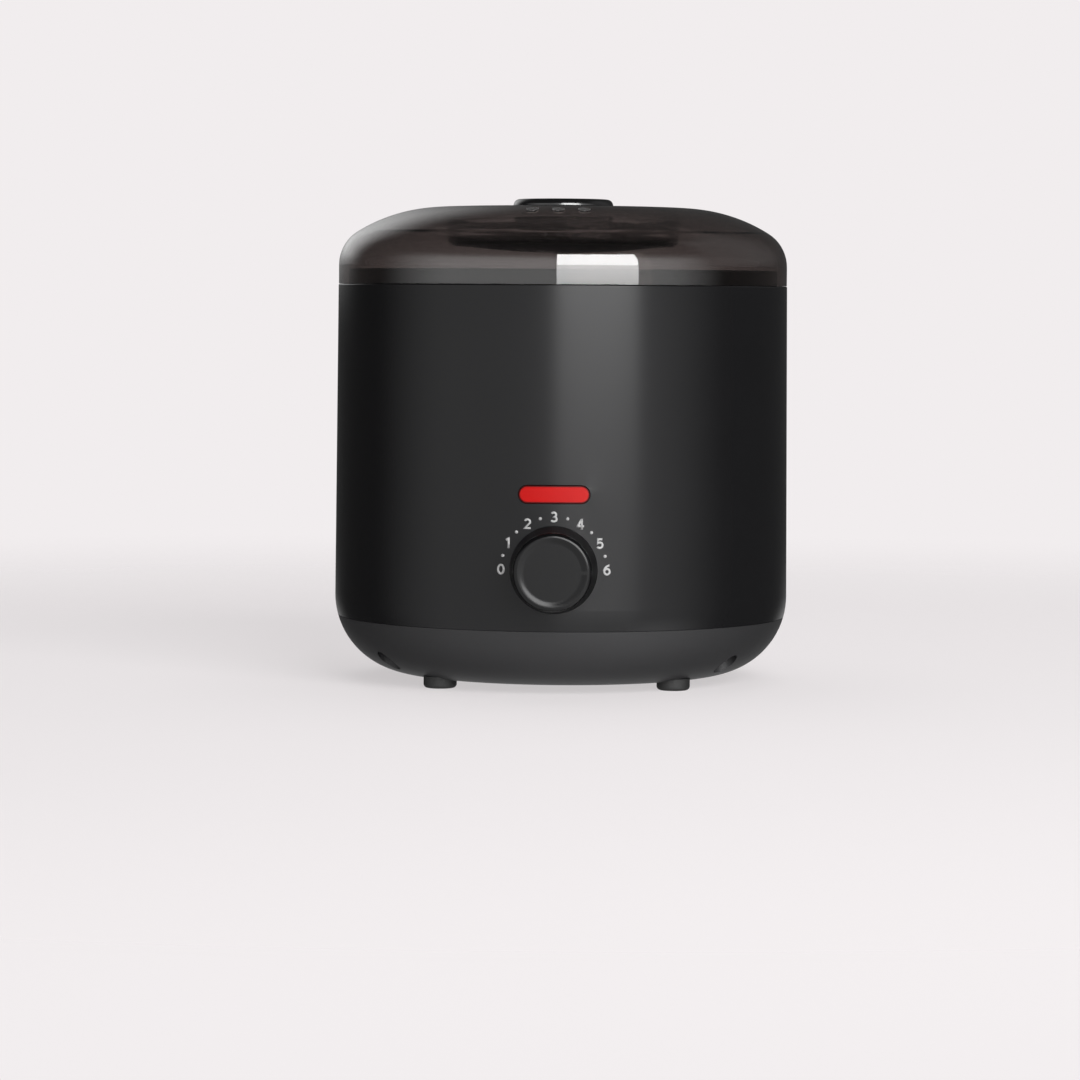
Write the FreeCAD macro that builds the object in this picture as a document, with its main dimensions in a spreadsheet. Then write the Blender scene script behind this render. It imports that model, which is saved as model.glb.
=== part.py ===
"""Countertop wax heater: moulded housing, lift-out pot, smoked lid and dial thermostat.

The axis of the round body is Z, the floor under the feet is z = 0 and the front faces -Y.
All sizes are millimetres.
"""
import FreeCAD, Part
import math
import os
import re
import Sketcher

# Sizes that are set by hand, grouped by the piece they belong to
SIZES = {
    # housing: a straight drafted wall over a rounded belly, split near the belly's top
    "body_radius": 80.0,
    "wall_draft": 0.8,
    "rim_height": 139.4,
    "rim_edge": 0.5,
    "belly_round": 27.5,
    "floor_gap": 2.5,
    "split_drop": 7.1,
    "seam_gap": 0.15,
    "shell_wall": 2.5,
    "base_wall": 2.5,
    "ledge_thick": 2.5,
    "ledge_gap": 0.8,
    "tongue_rise": 3.6,
    "tongue_thick": 1.6,
    "tongue_gap": 0.3,
    # screws that draw the base up to the shell
    "post_inset": 10.6,
    "post_angle": 57.0,
    "post_radius": 5.5,
    "post_rise": 1.1,
    "screw_well_radius": 4.0,
    "screw_seat_drop": 4.4,
    "boss_radius": 4.2,
    "boss_tall": 26.0,
    "boss_rib": 3.0,
    "screw_radius": 1.45,
    "screw_head": 3.3,
    "screw_head_tall": 2.4,
    "screw_bite": 16.0,
    "screw_clear": 0.3,
    "pilot_gap": 0.05,
    "pilot_spare": 3.0,
    # feet
    "foot_inset": 23.0,
    "foot_angle": 45.0,
    "foot_radius": 5.75,
    "foot_edge": 1.4,
    "foot_sunk": 1.6,
    "foot_gap": 0.25,
    "foot_pad_wall": 1.8,
    "foot_pad_tall": 3.4,
    "stem_radius": 1.9,
    "barb_radius": 2.7,
    "barb_tall": 2.0,
    # vents in the floor of the base
    "vent_count": 12,
    "vent_inner": 24.0,
    "vent_long": 16.0,
    "vent_wide": 3.0,
    # dial seat and thermostat
    "dial_height": 43.8,
    "seat_radius": 14.0,
    "seat_proud": 0.5,
    "seat_thick": 4.9,
    "bush_radius": 5.0,
    "bush_gap": 0.1,
    "bush_proud": 4.5,
    "bracket_wide": 30.0,
    "bracket_thick": 2.0,
    "stat_wide": 32.0,
    "stat_deep": 20.0,
    "stat_tall": 24.0,
    "stat_corner": 2.5,
    "blade_wide": 6.3,
    "blade_thick": 0.8,
    "blade_long": 8.0,
    "blade_pitch": 16.0,
    "nut_flats": 14.0,
    "nut_thick": 2.5,
    "shaft_radius": 3.0,
    "shaft_flat": 1.0,
    "shaft_sunk": 8.0,
    "shaft_grip": 5.0,
    "running_gap": 0.05,
    # dial knob
    "knob_gap": 0.4,
    "knob_radius": 14.8,
    "knob_top_radius": 13.2,
    "knob_tall": 14.0,
    "knob_wall": 1.8,
    "crest_round": 1.5,
    "dish_round": 4.0,
    "dish_lean": 15.0,
    "hub_radius": 5.2,
    "hub_gap": 0.6,
    "pointer_wide": 1.2,
    "pointer_long": 4.5,
    # indicator lens and lamp
    "lens_height": 69.1,
    "lens_long": 23.8,
    "lens_tall": 5.8,
    "lens_proud": 0.2,
    "lens_gap": 0.3,
    "lens_lip": 1.5,
    "lens_lip_thick": 1.5,
    "lens_lip_gap": 0.1,
    "holder_gap": 0.6,
    "holder_wall": 1.2,
    "lamp_radius": 2.0,
    "lamp_long": 15.0,
    "lamp_gap": 0.3,
    # cord gland at the back
    "gland_height": 41.0,
    "gland_pad_radius": 9.5,
    "gland_pad_proud": 0.6,
    "gland_pad_thick": 4.0,
    "gland_bore": 3.4,
    "gland_neck": 5.5,
    "gland_flange": 8.0,
    "gland_flange_thick": 3.0,
    "gland_lock": 6.6,
    "gland_lock_thick": 2.0,
    # bucket, collar and pot
    "rim_depth": 20.2,
    "bucket_wall": 1.2,
    "bucket_round": 6.0,
    "collar_gap": 1.0,
    "collar_rise": 5.3,
    "collar_foot": 3.4,
    "collar_foot_gap": 0.4,
    "collar_edge": 0.8,
    "collar_lip": 3.0,
    "collar_bore_gap": 1.2,
    "pot_seat_drop": 1.8,
    "pot_rest_gap": 0.1,
    "pot_gap": 0.5,
    "pot_wall": 1.2,
    "pot_taper": 1.0,
    "pot_round": 8.0,
    "pot_rim_gap": 2.0,
    "clip_screw_radius": 1.4,
    "clip_screw_head": 2.6,
    "clip_screw_head_tall": 1.1,
    "clip_screw_bite": 6.0,
    "clip_sink": 1.2,
    "clip_sink_gap": 0.3,
    "clip_boss_radius": 3.2,
    "clip_boss_tall": 6.0,
    # heater band, clamp and wrap
    "band_gap": 0.05,
    "band_thick": 2.2,
    "band_tall": 30.0,
    "band_rise": 14.0,
    "band_slot": 8.0,
    "clamp_thick": 0.8,
    "clamp_tall": 18.0,
    "ear_long": 6.0,
    "bolt_radius": 1.5,
    "bolt_head": 2.7,
    "bolt_head_tall": 2.0,
    "wrap_gap": 0.3,
    "wrap_thick": 4.0,
    "wrap_margin": 7.0,
    "wrap_slot_gap": 1.5,
    # sensor, fuse and their clips under the bucket
    "bulb_radius": 2.5,
    "bulb_long": 40.0,
    "bulb_gap": 0.3,
    "bulb_offset": -8.0,
    "capillary_radius": 1.0,
    "capillary_rise": 1.5,
    "capillary_bend": 4.0,
    "capillary_inset": 5.0,
    "fuse_radius": 2.0,
    "fuse_long": 11.0,
    "fuse_offset": 12.0,
    "lead_radius": 0.5,
    "lead_long": 8.0,
    "strap_thick": 0.8,
    "strap_wide": 8.0,
    "strap_foot": 4.0,
    # terminal block on the floor of the base
    "block_long": 32.0,
    "block_deep": 16.0,
    "block_tall": 14.0,
    "block_edge": 1.5,
    "pole_pitch": 10.0,
    "pole_bore": 2.0,
    "pole_screw": 1.6,
    "pole_screw_head": 2.4,
    "pole_screw_head_tall": 1.6,
    # leads inside the housing
    "wire_radius": 1.0,
    "wire_bend": 3.0,
    "wire_drop": 8.0,
    "wire_side": 24.0,
    "wire_turn": 40.0,
    "lamp_wire_radius": 0.7,
    "lamp_wire_pitch": 10.0,
    # lid: skirt, shoulder, crown, rolled rim and a bowl-shaped finger well
    "lid_gap": 0.1,
    "lid_inset": 0.1,
    "lid_wall": 2.5,
    "lid_straight": 6.6,
    "lid_rise": 27.2,
    "shoulder_round": 14.0,
    "crest_radius": 42.0,
    "rim_round": 3.5,
    "well_rise": 17.0,
    "well_round": 2.0,
    "bowl_radius": 220.0,
    "bowl_wall": 4.3,
    "bowl_corner": 4.0,
    "lid_vent_radius": 2.0,
    "lid_vent_sink": 1.2,
    "lid_vent_pin": 0.6,
    "lid_vent_circle": 55.0,
    "lid_vent_step": 9.2,
    # grip in the middle of the lid
    "grip_foot": 16.2,
    "grip_radius": 17.6,
    "grip_rise": 30.2,
    "grip_round": 2.2,
    "grip_dish": 0.6,
    "grip_gap": 0.05,
    "grip_screw_radius": 1.9,
    "grip_screw_head": 3.7,
    "grip_screw_bite": 6.5,
    "grip_screw_gap": 0.1,
}

# Sizes worked out from those above, as formulas of the sheet
DERIVED = {
    "rim_radius": "body_radius - wall_draft",
    "belly_axis": "body_radius - belly_round",
    "belly_height": "floor_gap + belly_round",
    "split_height": "belly_height - split_drop",
    "split_radius": "belly_axis + sqrt(belly_round^2 - split_drop^2)",
    "split_bore": "belly_axis + sqrt((belly_round - shell_wall)^2 - split_drop^2)",
    "base_edge_height": "split_height - seam_gap",
    "base_edge_radius": "belly_axis + sqrt(belly_round^2 - (split_drop + seam_gap)^2)",
    "shell_bore": "body_radius - shell_wall",
    "rim_bore": "rim_radius - shell_wall",
    "tongue_radius": "split_bore - tongue_gap",
    "tongue_bore": "tongue_radius - tongue_thick",
    "tongue_top": "split_height + tongue_rise",
    "tongue_foot": "belly_height - sqrt((belly_round - base_wall)^2 - (tongue_bore - belly_axis)^2)",
    "base_floor": "floor_gap + base_wall",
    "rib_low": "tongue_top + tongue_gap",
    "rib_root": "shell_bore + shell_wall / 4",
    "post_circle": "body_radius - post_inset",
    "post_top": "split_height + post_rise",
    "screw_seat": "split_height - screw_seat_drop",
    "foot_circle": "body_radius - foot_inset",
    "foot_seat": "floor_gap + foot_sunk",
    "foot_pad_top": "foot_seat + foot_pad_tall",
    "seat_face": "body_radius + seat_proud",
    "seat_back": "seat_face - seat_thick",
    "stat_front": "seat_back - bracket_thick",
    "stat_back": "stat_front - stat_deep",
    "stat_top": "dial_height + stat_tall / 2",
    "stat_under": "dial_height - stat_tall / 2",
    "dish_drop": "2 * dish_round * (1 - cos(dish_lean))",
    "dish_step": "dish_round * sin(dish_lean)",
    "dish_face": "knob_tall - dish_drop",
    "crest_line": "knob_top_radius - crest_round",
    "hub_low": "bush_proud + hub_gap",
    "lens_seat": "sqrt(rim_bore^2 - (lens_long / 2 + lens_lip)^2) - lens_lip_gap",
    "lens_back": "lens_seat - lens_lip_thick",
    "lens_face": "body_radius + lens_proud",
    "gland_face": "body_radius + gland_pad_proud",
    "bucket_bore": "rim_radius - rim_depth",
    "bucket_radius": "bucket_bore + bucket_wall",
    "bucket_under": "stat_top + capillary_rise + capillary_bend + bulb_radius + bulb_gap",
    "bucket_floor": "bucket_under + bucket_wall",
    "flange_top": "rim_height + bucket_wall",
    "ledge_bore": "bucket_radius + ledge_gap",
    "lid_radius": "rim_radius - lid_inset",
    "lid_bore": "lid_radius - lid_wall",
    "collar_radius": "lid_bore - collar_gap",
    "collar_top": "rim_height + collar_rise",
    "collar_bore": "bucket_bore + collar_bore_gap",
    "bucket_flange": "collar_radius - collar_foot - collar_foot_gap",
    "clip_circle": "(ledge_bore + bucket_flange) / 2",
    "pot_seat": "collar_top - pot_seat_drop",
    "pot_flange_low": "pot_seat + pot_rest_gap",
    "clip_seat": "pot_seat - clip_sink",
    "clip_boss_low": "rim_height - ledge_thick - clip_boss_tall",
    "pot_radius": "bucket_bore - pot_gap",
    "pot_foot": "pot_radius - pot_taper",
    "pot_under": "bucket_floor + pot_gap",
    "pot_flange": "collar_radius - collar_lip - pot_rim_gap",
    "band_bore": "bucket_radius + band_gap",
    "band_radius": "band_bore + band_thick",
    "band_low": "bucket_under + band_rise",
    "clamp_radius": "band_radius + clamp_thick",
    "clamp_low": "band_low + (band_tall - clamp_tall) / 2",
    "ear_face": "band_slot / 2 + clamp_thick",
    "bolt_circle": "clamp_radius + ear_long / 2",
    "bolt_height": "clamp_low + clamp_tall / 2",
    "wrap_bore": "clamp_radius + wrap_gap",
    "wrap_radius": "wrap_bore + wrap_thick",
    "wrap_slot": "band_slot + 2 * (clamp_thick + bolt_head_tall + wrap_slot_gap)",
    "holder_back": "wrap_radius + holder_gap",
    "bulb_height": "bucket_under - bulb_gap - bulb_radius",
    "bulb_front": "stat_front - capillary_inset - capillary_bend",
    "fuse_height": "bucket_under - bulb_gap - fuse_radius",
    "block_top": "base_floor + block_tall",
    "way_height": "base_floor + block_tall / 2",
    "pole_screw_long": "block_tall / 2 - wire_radius - pilot_gap",
    "blade_line": "(stat_front + stat_back) / 2",
    "blade_low": "stat_under - blade_long",
    "band_line": "(band_bore + band_radius) / 2",
    "lamp_line": "(holder_back + lens_back) / 2",
    "holder_under": "lens_height - lamp_radius - lamp_gap - holder_wall",
    "lid_low": "rim_height + lid_gap",
    "shoulder_height": "rim_height + lid_straight",
    "crest_height": "rim_height + lid_rise",
    "crown_run": "lid_radius - shoulder_round - crest_radius",
    "crown_rise": "lid_rise - lid_straight",
    "crown_radius": "(crown_run^2 + crown_rise^2 - shoulder_round^2) / (2 * (crown_rise - shoulder_round))",
    "crown_lean": "crown_run / (crown_radius - shoulder_round)",
    "crown_stand": "(crown_radius - crown_rise) / (crown_radius - shoulder_round)",
    "crown_low": "crest_height - crown_radius",
    "lid_vent_dip": "crown_radius - sqrt(crown_radius^2 - (lid_vent_circle - crest_radius)^2)",
    "lid_vent_drop": "lid_vent_dip + lid_vent_sink",
    "well_radius": "crest_radius - rim_round",
    "well_floor": "rim_height + well_rise",
    "bowl_top": "well_floor + bowl_radius",
    "bowl_lean": "(well_radius - well_round) / (bowl_radius - well_round)",
    "bowl_stand": "sqrt(1 - bowl_lean^2)",
    "well_bend": "bowl_top - (bowl_radius - well_round) * bowl_stand",
    "well_under": "well_floor - bowl_wall",
    "bowl_skin": "bowl_radius + bowl_wall",
    "skin_lean": "(well_radius + lid_wall - bowl_corner) / (bowl_skin - bowl_corner)",
    "skin_stand": "sqrt(1 - skin_lean^2)",
    "skin_bend": "bowl_top - (bowl_skin - bowl_corner) * skin_stand",
    "grip_seat": "bowl_top - sqrt(bowl_radius^2 - grip_foot^2) + grip_gap",
    "grip_top": "rim_height + grip_rise",
    "grip_dish_radius": "((grip_radius - grip_round)^2 + grip_dish^2) / (2 * grip_dish)",
}

CUT_MARGIN = "1"
LEAST_CUT = 1e-3
SAME = 1e-9
LEFT = 1
RIGHT = -1
HEXAGON_SIDES = 6
FRONT = FreeCAD.Rotation(FreeCAD.Vector(1, 0, 0), 90)
BACK = FreeCAD.Rotation(FreeCAD.Vector(1, 0, 0), -90)
SIDEWAYS = FreeCAD.Rotation(FreeCAD.Vector(0, 1, 0), 90)
UPRIGHT = FreeCAD.Rotation(FreeCAD.Vector(1, 0, 1), 180)

doc = FreeCAD.newDocument("wax_heater")
sheet = doc.addObject("Spreadsheet::Sheet", "Sizes")
PIECES = []


def fill_sheet():
    """Write the driving sizes as numbers and the derived ones as formulas, each with its alias."""
    rows = [(alias, str(value)) for alias, value in SIZES.items()]
    rows += [(alias, "=" + text) for alias, text in DERIVED.items()]
    for row, (alias, text) in enumerate(rows, start=1):
        sheet.set("A%d" % row, alias)
        sheet.set("B%d" % row, text)
        sheet.setAlias("B%d" % row, alias)
    doc.recompute()


def formula(text):
    """Point every size named in a formula at its cell of the sheet."""
    def cell(match):
        word = match.group()
        return "Sizes." + word if word in SIZES or word in DERIVED else word
    return re.sub(r"[a-z_]+", cell, text)


def number(text):
    """Value that a formula has now."""
    return float(sheet.evalExpression(formula(text)))


def bind(thing, prop, text):
    """Tie a property to a formula of the sheet."""
    thing.setExpression(prop, formula(text))


def around(radius, angle):
    """Formulas of a place on a circle about Z, with the angle counted from the front towards +X."""
    return "%s * sin(%s)" % (radius, angle), "-%s * cos(%s)" % (radius, angle)


def corners_of(angle):
    """The four angles of a set that stands alike at front and back, left and right."""
    return [angle, "-" + angle, "(180 - %s)" % angle, "(%s - 180)" % angle]


def place(thing, x="0", y="0", z="0", rotation=None):
    """Tie the place of a piece to formulas, with a fixed rotation where it has one."""
    if rotation is not None:
        thing.Placement = FreeCAD.Placement(FreeCAD.Vector(), rotation)
    for axis, text in zip("xyz", (x, y, z)):
        bind(thing, "Placement.Base." + axis, text)


def new_body(label):
    """Empty body for one piece."""
    body = doc.addObject("PartDesign::Body", label)
    body.Label = label
    PIECES.append(body)
    return body


def new_sketch(body, name, role="XZ_Plane", lift=None):
    """Sketch on a plane of the body's own origin, lifted along the plane's normal."""
    sketch = body.newObject("Sketcher::SketchObject", name)
    plane = next(item for item in body.Origin.OriginFeatures if item.Role == role)
    sketch.AttachmentSupport = [(plane, "")]
    sketch.MapMode = "FlatFace"
    if lift is not None:
        bind(sketch, "AttachmentOffset.Base.z", lift)
    return sketch


def bind_constraint(sketch, constraint, text):
    """Add a dimension to a sketch and tie it to a formula."""
    index = sketch.addConstraint(constraint)
    bind(sketch, "Constraints[%d]" % index, text)


def arc_between(start, end, radius, turn):
    """Arc of under half a circle from start to end that turns left or right."""
    chord = end - start
    middle = (start + end) * 0.5
    reach = math.sqrt(max(radius**2 - (chord.Length / 2)**2, 0.0))
    side = FreeCAD.Vector(-chord.y, chord.x, 0).normalize()
    centre = middle + side * (reach * turn)
    first, last = (start, end) if turn == LEFT else (end, start)
    angles = [math.atan2(point.y - centre.y, point.x - centre.x) for point in (first, last)]
    circle = Part.Circle(centre, FreeCAD.Vector(0, 0, 1), radius)
    return Part.ArcOfCircle(circle, angles[0], angles[1])


def outline(sketch, corners):
    """Closed outline through corners given as formulas.

    A corner is (x, y), or (x, y, radius, turn) where the span after it is an arc.
    """
    points = [FreeCAD.Vector(number(corner[0]), number(corner[1]), 0) for corner in corners]
    ends = []
    for index, corner in enumerate(corners):
        start = points[index]
        end = points[(index + 1) % len(points)]
        if len(corner) == 2:
            span = sketch.addGeometry(Part.LineSegment(start, end), False)
            ends.append((span, 1, 2))
        else:
            curve = arc_between(start, end, number(corner[2]), corner[3])
            span = sketch.addGeometry(curve, False)
            ends.append((span, 1, 2) if corner[3] == LEFT else (span, 2, 1))
    for index, corner in enumerate(corners):
        span, head, tail = ends[index]
        following, next_head, _ = ends[(index + 1) % len(ends)]
        sketch.addConstraint(Sketcher.Constraint("Coincident", span, tail, following, next_head))
        where = points[index]
        bind_constraint(sketch, Sketcher.Constraint("DistanceX", span, head, where.x), corner[0])
        bind_constraint(sketch, Sketcher.Constraint("DistanceY", span, head, where.y), corner[1])
        if len(corner) > 2:
            radius = number(corner[2])
            bind_constraint(sketch, Sketcher.Constraint("Radius", span, radius), corner[2])


def circle(sketch, x, y, radius):
    """Circle about a place given by formulas."""
    centre = FreeCAD.Vector(number(x), number(y), 0)
    axis = FreeCAD.Vector(0, 0, 1)
    ring = sketch.addGeometry(Part.Circle(centre, axis, number(radius)), False)
    bind_constraint(sketch, Sketcher.Constraint("DistanceX", ring, 3, centre.x), x)
    bind_constraint(sketch, Sketcher.Constraint("DistanceY", ring, 3, centre.y), y)
    bind_constraint(sketch, Sketcher.Constraint("Radius", ring, number(radius)), radius)


def rectangle(sketch, low_x, high_x, low_y, high_y):
    """Rectangle between two corners given by formulas."""
    outline(sketch, [(low_x, low_y), (high_x, low_y), (high_x, high_y), (low_x, high_y)])


def rounded_rectangle(sketch, x, y, half_wide, half_tall, corner):
    """Rectangle with round corners about a centre; corners of half its height make a pill."""
    flat_x = "(%s - %s)" % (half_wide, corner)
    flat_y = "(%s - %s)" % (half_tall, corner)
    spans = []
    for sign_x, sign_y, first in ((1, -1, "y"), (1, 1, "x"), (-1, 1, "y"), (-1, -1, "x")):
        side = "%s + %d * %s" % (x, sign_x, half_wide), "%s + %d * %s" % (y, sign_y, flat_y)
        crown = "%s + %d * %s" % (x, sign_x, flat_x), "%s + %d * %s" % (y, sign_y, half_tall)
        start, end = (crown, side) if first == "y" else (side, crown)
        spans.append(start + (corner, LEFT))
        spans.append(end)
    if number(half_tall) - number(corner) < SAME:
        spans = [spans[0], spans[2], spans[3], spans[4], spans[6], spans[7]]
    outline(sketch, spans)


def revolve(body, name, corners, cut=False):
    """Turn an outline of radii and heights about the body's Z axis, to add it or to cut it away."""
    sketch = new_sketch(body, name + "_outline")
    outline(sketch, corners)
    doc.recompute()
    before = body.Shape.Volume if cut else 0.0
    feature = body.newObject("PartDesign::Groove" if cut else "PartDesign::Revolution", name)
    feature.Profile = sketch
    feature.ReferenceAxis = (sketch, ["V_Axis"])
    feature.Angle = 360
    doc.recompute()
    if cut and body.Shape.Volume > before - LEAST_CUT:
        raise RuntimeError("groove %s cut nothing" % name)
    return feature


def pad(body, name, sketch, length):
    """Grow a sketch along its normal."""
    feature = body.newObject("PartDesign::Pad", name)
    feature.Profile = sketch
    bind(feature, "Length", length)
    doc.recompute()
    return feature


def pocket(body, name, sketch, length, forward=False):
    """Cut a sketch against its normal, or along it where forward is set."""
    before = body.Shape.Volume
    feature = body.newObject("PartDesign::Pocket", name)
    feature.Profile = sketch
    feature.Reversed = forward
    bind(feature, "Length", length)
    doc.recompute()
    if body.Shape.Volume > before - LEAST_CUT:
        raise RuntimeError("pocket %s cut nothing" % name)
    return feature


def cylinder(name, radius, height, x="0", y="0", z="0", rotation=None):
    """Plain cylinder that stands at a place, along Z unless it is turned."""
    solid = doc.addObject("Part::Cylinder", name)
    bind(solid, "Radius", radius)
    bind(solid, "Height", height)
    place(solid, x, y, z, rotation)
    return solid


def box(name, size, x="0", y="0", z="0", rotation=None):
    """Plain block from its low corner."""
    solid = doc.addObject("Part::Box", name)
    for prop, text in zip(("Length", "Width", "Height"), size):
        bind(solid, prop, text)
    place(solid, x, y, z, rotation)
    return solid


def fuse(name, solids):
    """Union of several solids."""
    union = doc.addObject("Part::MultiFuse", name)
    union.Shapes = solids
    return union


def cut(name, base, tool):
    """One solid less another."""
    difference = doc.addObject("Part::Cut", name)
    difference.Base = base
    difference.Tool = tool
    return difference


def spun(name, corners):
    """Solid of revolution about Z outside a body."""
    sketch = doc.addObject("Sketcher::SketchObject", name + "_outline")
    sketch.Placement = FreeCAD.Placement(FreeCAD.Vector(), FRONT)
    outline(sketch, corners)
    solid = doc.addObject("Part::Revolution", name)
    solid.Source = sketch
    solid.Axis = FreeCAD.Vector(0, 0, 1)
    solid.Angle = 360
    solid.Solid = True
    return solid


def piece(thing, label):
    """Name a finished solid as a piece of the heater."""
    thing.Label = label
    PIECES.append(thing)
    return thing


def shell_bosses(body):
    """Screw bosses inside the shell, each joined to the wall by a rib."""
    bosses = new_sketch(body, "boss_circles", "XY_Plane", "post_top")
    for angle in corners_of("post_angle"):
        x, y = around("post_circle", angle)
        circle(bosses, x, y, "boss_radius")
    pad(body, "bosses", bosses, "boss_tall")
    ribs = new_sketch(body, "rib_outlines", "XY_Plane", "rib_low")
    for angle in corners_of("post_angle"):
        ends = []
        for radius, side in (("post_circle", "-"), ("rib_root", "-"), ("rib_root", ""), ("post_circle", "")):
            x, y = around(radius, angle)
            across = "%sboss_rib / 2" % side
            ends.append(("%s + %s * cos(%s)" % (x, across, angle), "%s + %s * sin(%s)" % (y, across, angle)))
        outline(ribs, ends)
    pad(body, "ribs", ribs, "post_top + boss_tall - rib_low")
    pilots = new_sketch(body, "pilot_circles", "XY_Plane", "post_top")
    for angle in corners_of("post_angle"):
        x, y = around("post_circle", angle)
        circle(pilots, x, y, "screw_radius + pilot_gap")
    pocket(body, "pilots", pilots, "screw_bite + pilot_spare", forward=True)


def clip_circles(body, name, height, radius):
    """Sketch of four circles where the screws that hold the collar down stand."""
    circles = new_sketch(body, name + "_circles", "XY_Plane", height)
    for angle in corners_of("post_angle"):
        x, y = around("clip_circle", angle)
        circle(circles, x, y, radius)
    return circles


def clip_holes(body, name, top, depth, radius):
    """Holes down from a height for the collar's screws."""
    pocket(body, name, clip_circles(body, name, top, radius), depth)


def make_outer_shell():
    """Side wall with its inward ledge, flat seats for dial and gland, lens slot and screw bosses."""
    body = new_body("outer_shell")
    revolve(body, "wall", [
        ("split_radius", "split_height", "belly_round", LEFT),
        ("body_radius", "belly_height"),
        ("rim_radius", "rim_height - rim_edge", "rim_edge", LEFT),
        ("rim_radius - rim_edge", "rim_height"),
        ("ledge_bore", "rim_height"),
        ("ledge_bore", "rim_height - ledge_thick"),
        ("rim_bore", "rim_height - ledge_thick"),
        ("shell_bore", "belly_height", "belly_round - shell_wall", RIGHT),
        ("split_bore", "split_height"),
    ])
    seat = new_sketch(body, "seat_circle", lift="seat_back")
    circle(seat, "0", "dial_height", "seat_radius")
    pad(body, "dial_seat", seat, "seat_thick")
    gland = new_sketch(body, "gland_pad_circle", lift="-gland_face")
    circle(gland, "0", "gland_height", "gland_pad_radius")
    pad(body, "gland_pad", gland, "gland_pad_thick")
    shell_bosses(body)
    slot = new_sketch(body, "lens_slot_outline")
    rounded_rectangle(slot, "0", "lens_height", "(lens_long / 2 + lens_gap)", "(lens_tall / 2 + lens_gap)",
                      "(lens_tall / 2 + lens_gap)")
    pocket(body, "lens_slot", slot, "body_radius + " + CUT_MARGIN, forward=True)
    hole = new_sketch(body, "bush_hole_circle")
    circle(hole, "0", "dial_height", "bush_radius + bush_gap")
    pocket(body, "bush_hole", hole, "seat_face + " + CUT_MARGIN, forward=True)
    inlet = new_sketch(body, "gland_hole_circle")
    circle(inlet, "0", "gland_height", "gland_neck + pilot_gap")
    pocket(body, "gland_hole", inlet, "gland_face + " + CUT_MARGIN)
    bosses = clip_circles(body, "clip_bosses", "clip_boss_low", "clip_boss_radius")
    pad(body, "clip_bosses", bosses, "clip_boss_tall")
    clip_holes(body, "clip_pilots", "rim_height", "ledge_thick + clip_boss_tall",
               "clip_screw_radius + pilot_gap")


def base_vents():
    """Blocks that cut a ring of slots, set like spokes, through the floor of the base."""
    slots = []
    count = int(number("vent_count"))
    size = ("vent_long", "vent_wide", "base_floor + " + CUT_MARGIN)
    for index in range(count):
        angle = 360 / count * (index + 0.5)
        turn = FreeCAD.Rotation(FreeCAD.Vector(0, 0, 1), angle - 90)
        x, y = around("vent_inner", "%g" % angle)
        side_x = "%s - vent_wide / 2 * cos(%g)" % (x, angle)
        side_y = "%s - vent_wide / 2 * sin(%g)" % (y, angle)
        slots.append(box("vent%d" % index, size, side_x, side_y, "0", turn))
    return slots


def make_base_pan():
    """Rounded pan with a tongue that laps into the shell, screw posts, foot pads and floor vents."""
    belly = spun("belly", [
        ("0", "floor_gap"),
        ("belly_axis", "floor_gap", "belly_round", LEFT),
        ("base_edge_radius", "base_edge_height"),
        ("tongue_radius", "base_edge_height"),
        ("tongue_radius", "tongue_top"),
        ("0", "tongue_top"),
    ])
    hollow = spun("hollow", [
        ("0", "base_floor"),
        ("belly_axis", "base_floor", "belly_round - base_wall", LEFT),
        ("tongue_bore", "tongue_foot"),
        ("tongue_bore", "tongue_top + " + CUT_MARGIN),
        ("0", "tongue_top + " + CUT_MARGIN),
    ])
    stands = []
    holes = []
    for index, angle in enumerate(corners_of("post_angle")):
        x, y = around("post_circle", angle)
        stands.append(cylinder("post%d" % index, "post_radius", "post_top", x, y))
        holes.append(cylinder("well%d" % index, "screw_well_radius", "screw_seat", x, y))
        holes.append(cylinder("screw_hole%d" % index, "screw_radius + screw_clear", "tongue_top", x, y))
    for index, angle in enumerate(corners_of("foot_angle")):
        x, y = around("foot_circle", angle)
        stands.append(cylinder("pad%d" % index, "foot_radius + foot_pad_wall", "foot_pad_top", x, y))
        holes.append(cylinder("seat%d" % index, "foot_radius + foot_gap", "foot_seat", x, y))
        holes.append(cylinder("stem_hole%d" % index, "stem_radius + pilot_gap", "tongue_top", x, y))
    core = cut("core", hollow, fuse("stands", stands))
    pan = cut("pan", belly, core)
    piece(cut("base_pan", pan, fuse("base_holes", holes + base_vents())), "base_pan")


def make_rim_collar():
    """Ring on the shell's ledge that clamps the bucket's flange and carries the pot."""
    body = new_body("rim_collar")
    revolve(body, "ring", [
        ("collar_radius - collar_foot", "rim_height"),
        ("collar_radius", "rim_height"),
        ("collar_radius", "collar_top - collar_edge", "collar_edge", LEFT),
        ("collar_radius - collar_edge", "collar_top"),
        ("collar_radius - collar_lip", "collar_top"),
        ("collar_radius - collar_lip", "pot_seat"),
        ("collar_bore", "pot_seat"),
        ("collar_bore", "flange_top"),
        ("collar_radius - collar_foot", "flange_top"),
    ])
    clip_holes(body, "sinks", "pot_seat", "clip_sink", "clip_screw_head + clip_sink_gap")
    clip_holes(body, "clip_bores", "pot_seat", "pot_seat - flange_top", "clip_screw_radius + screw_clear")


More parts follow.
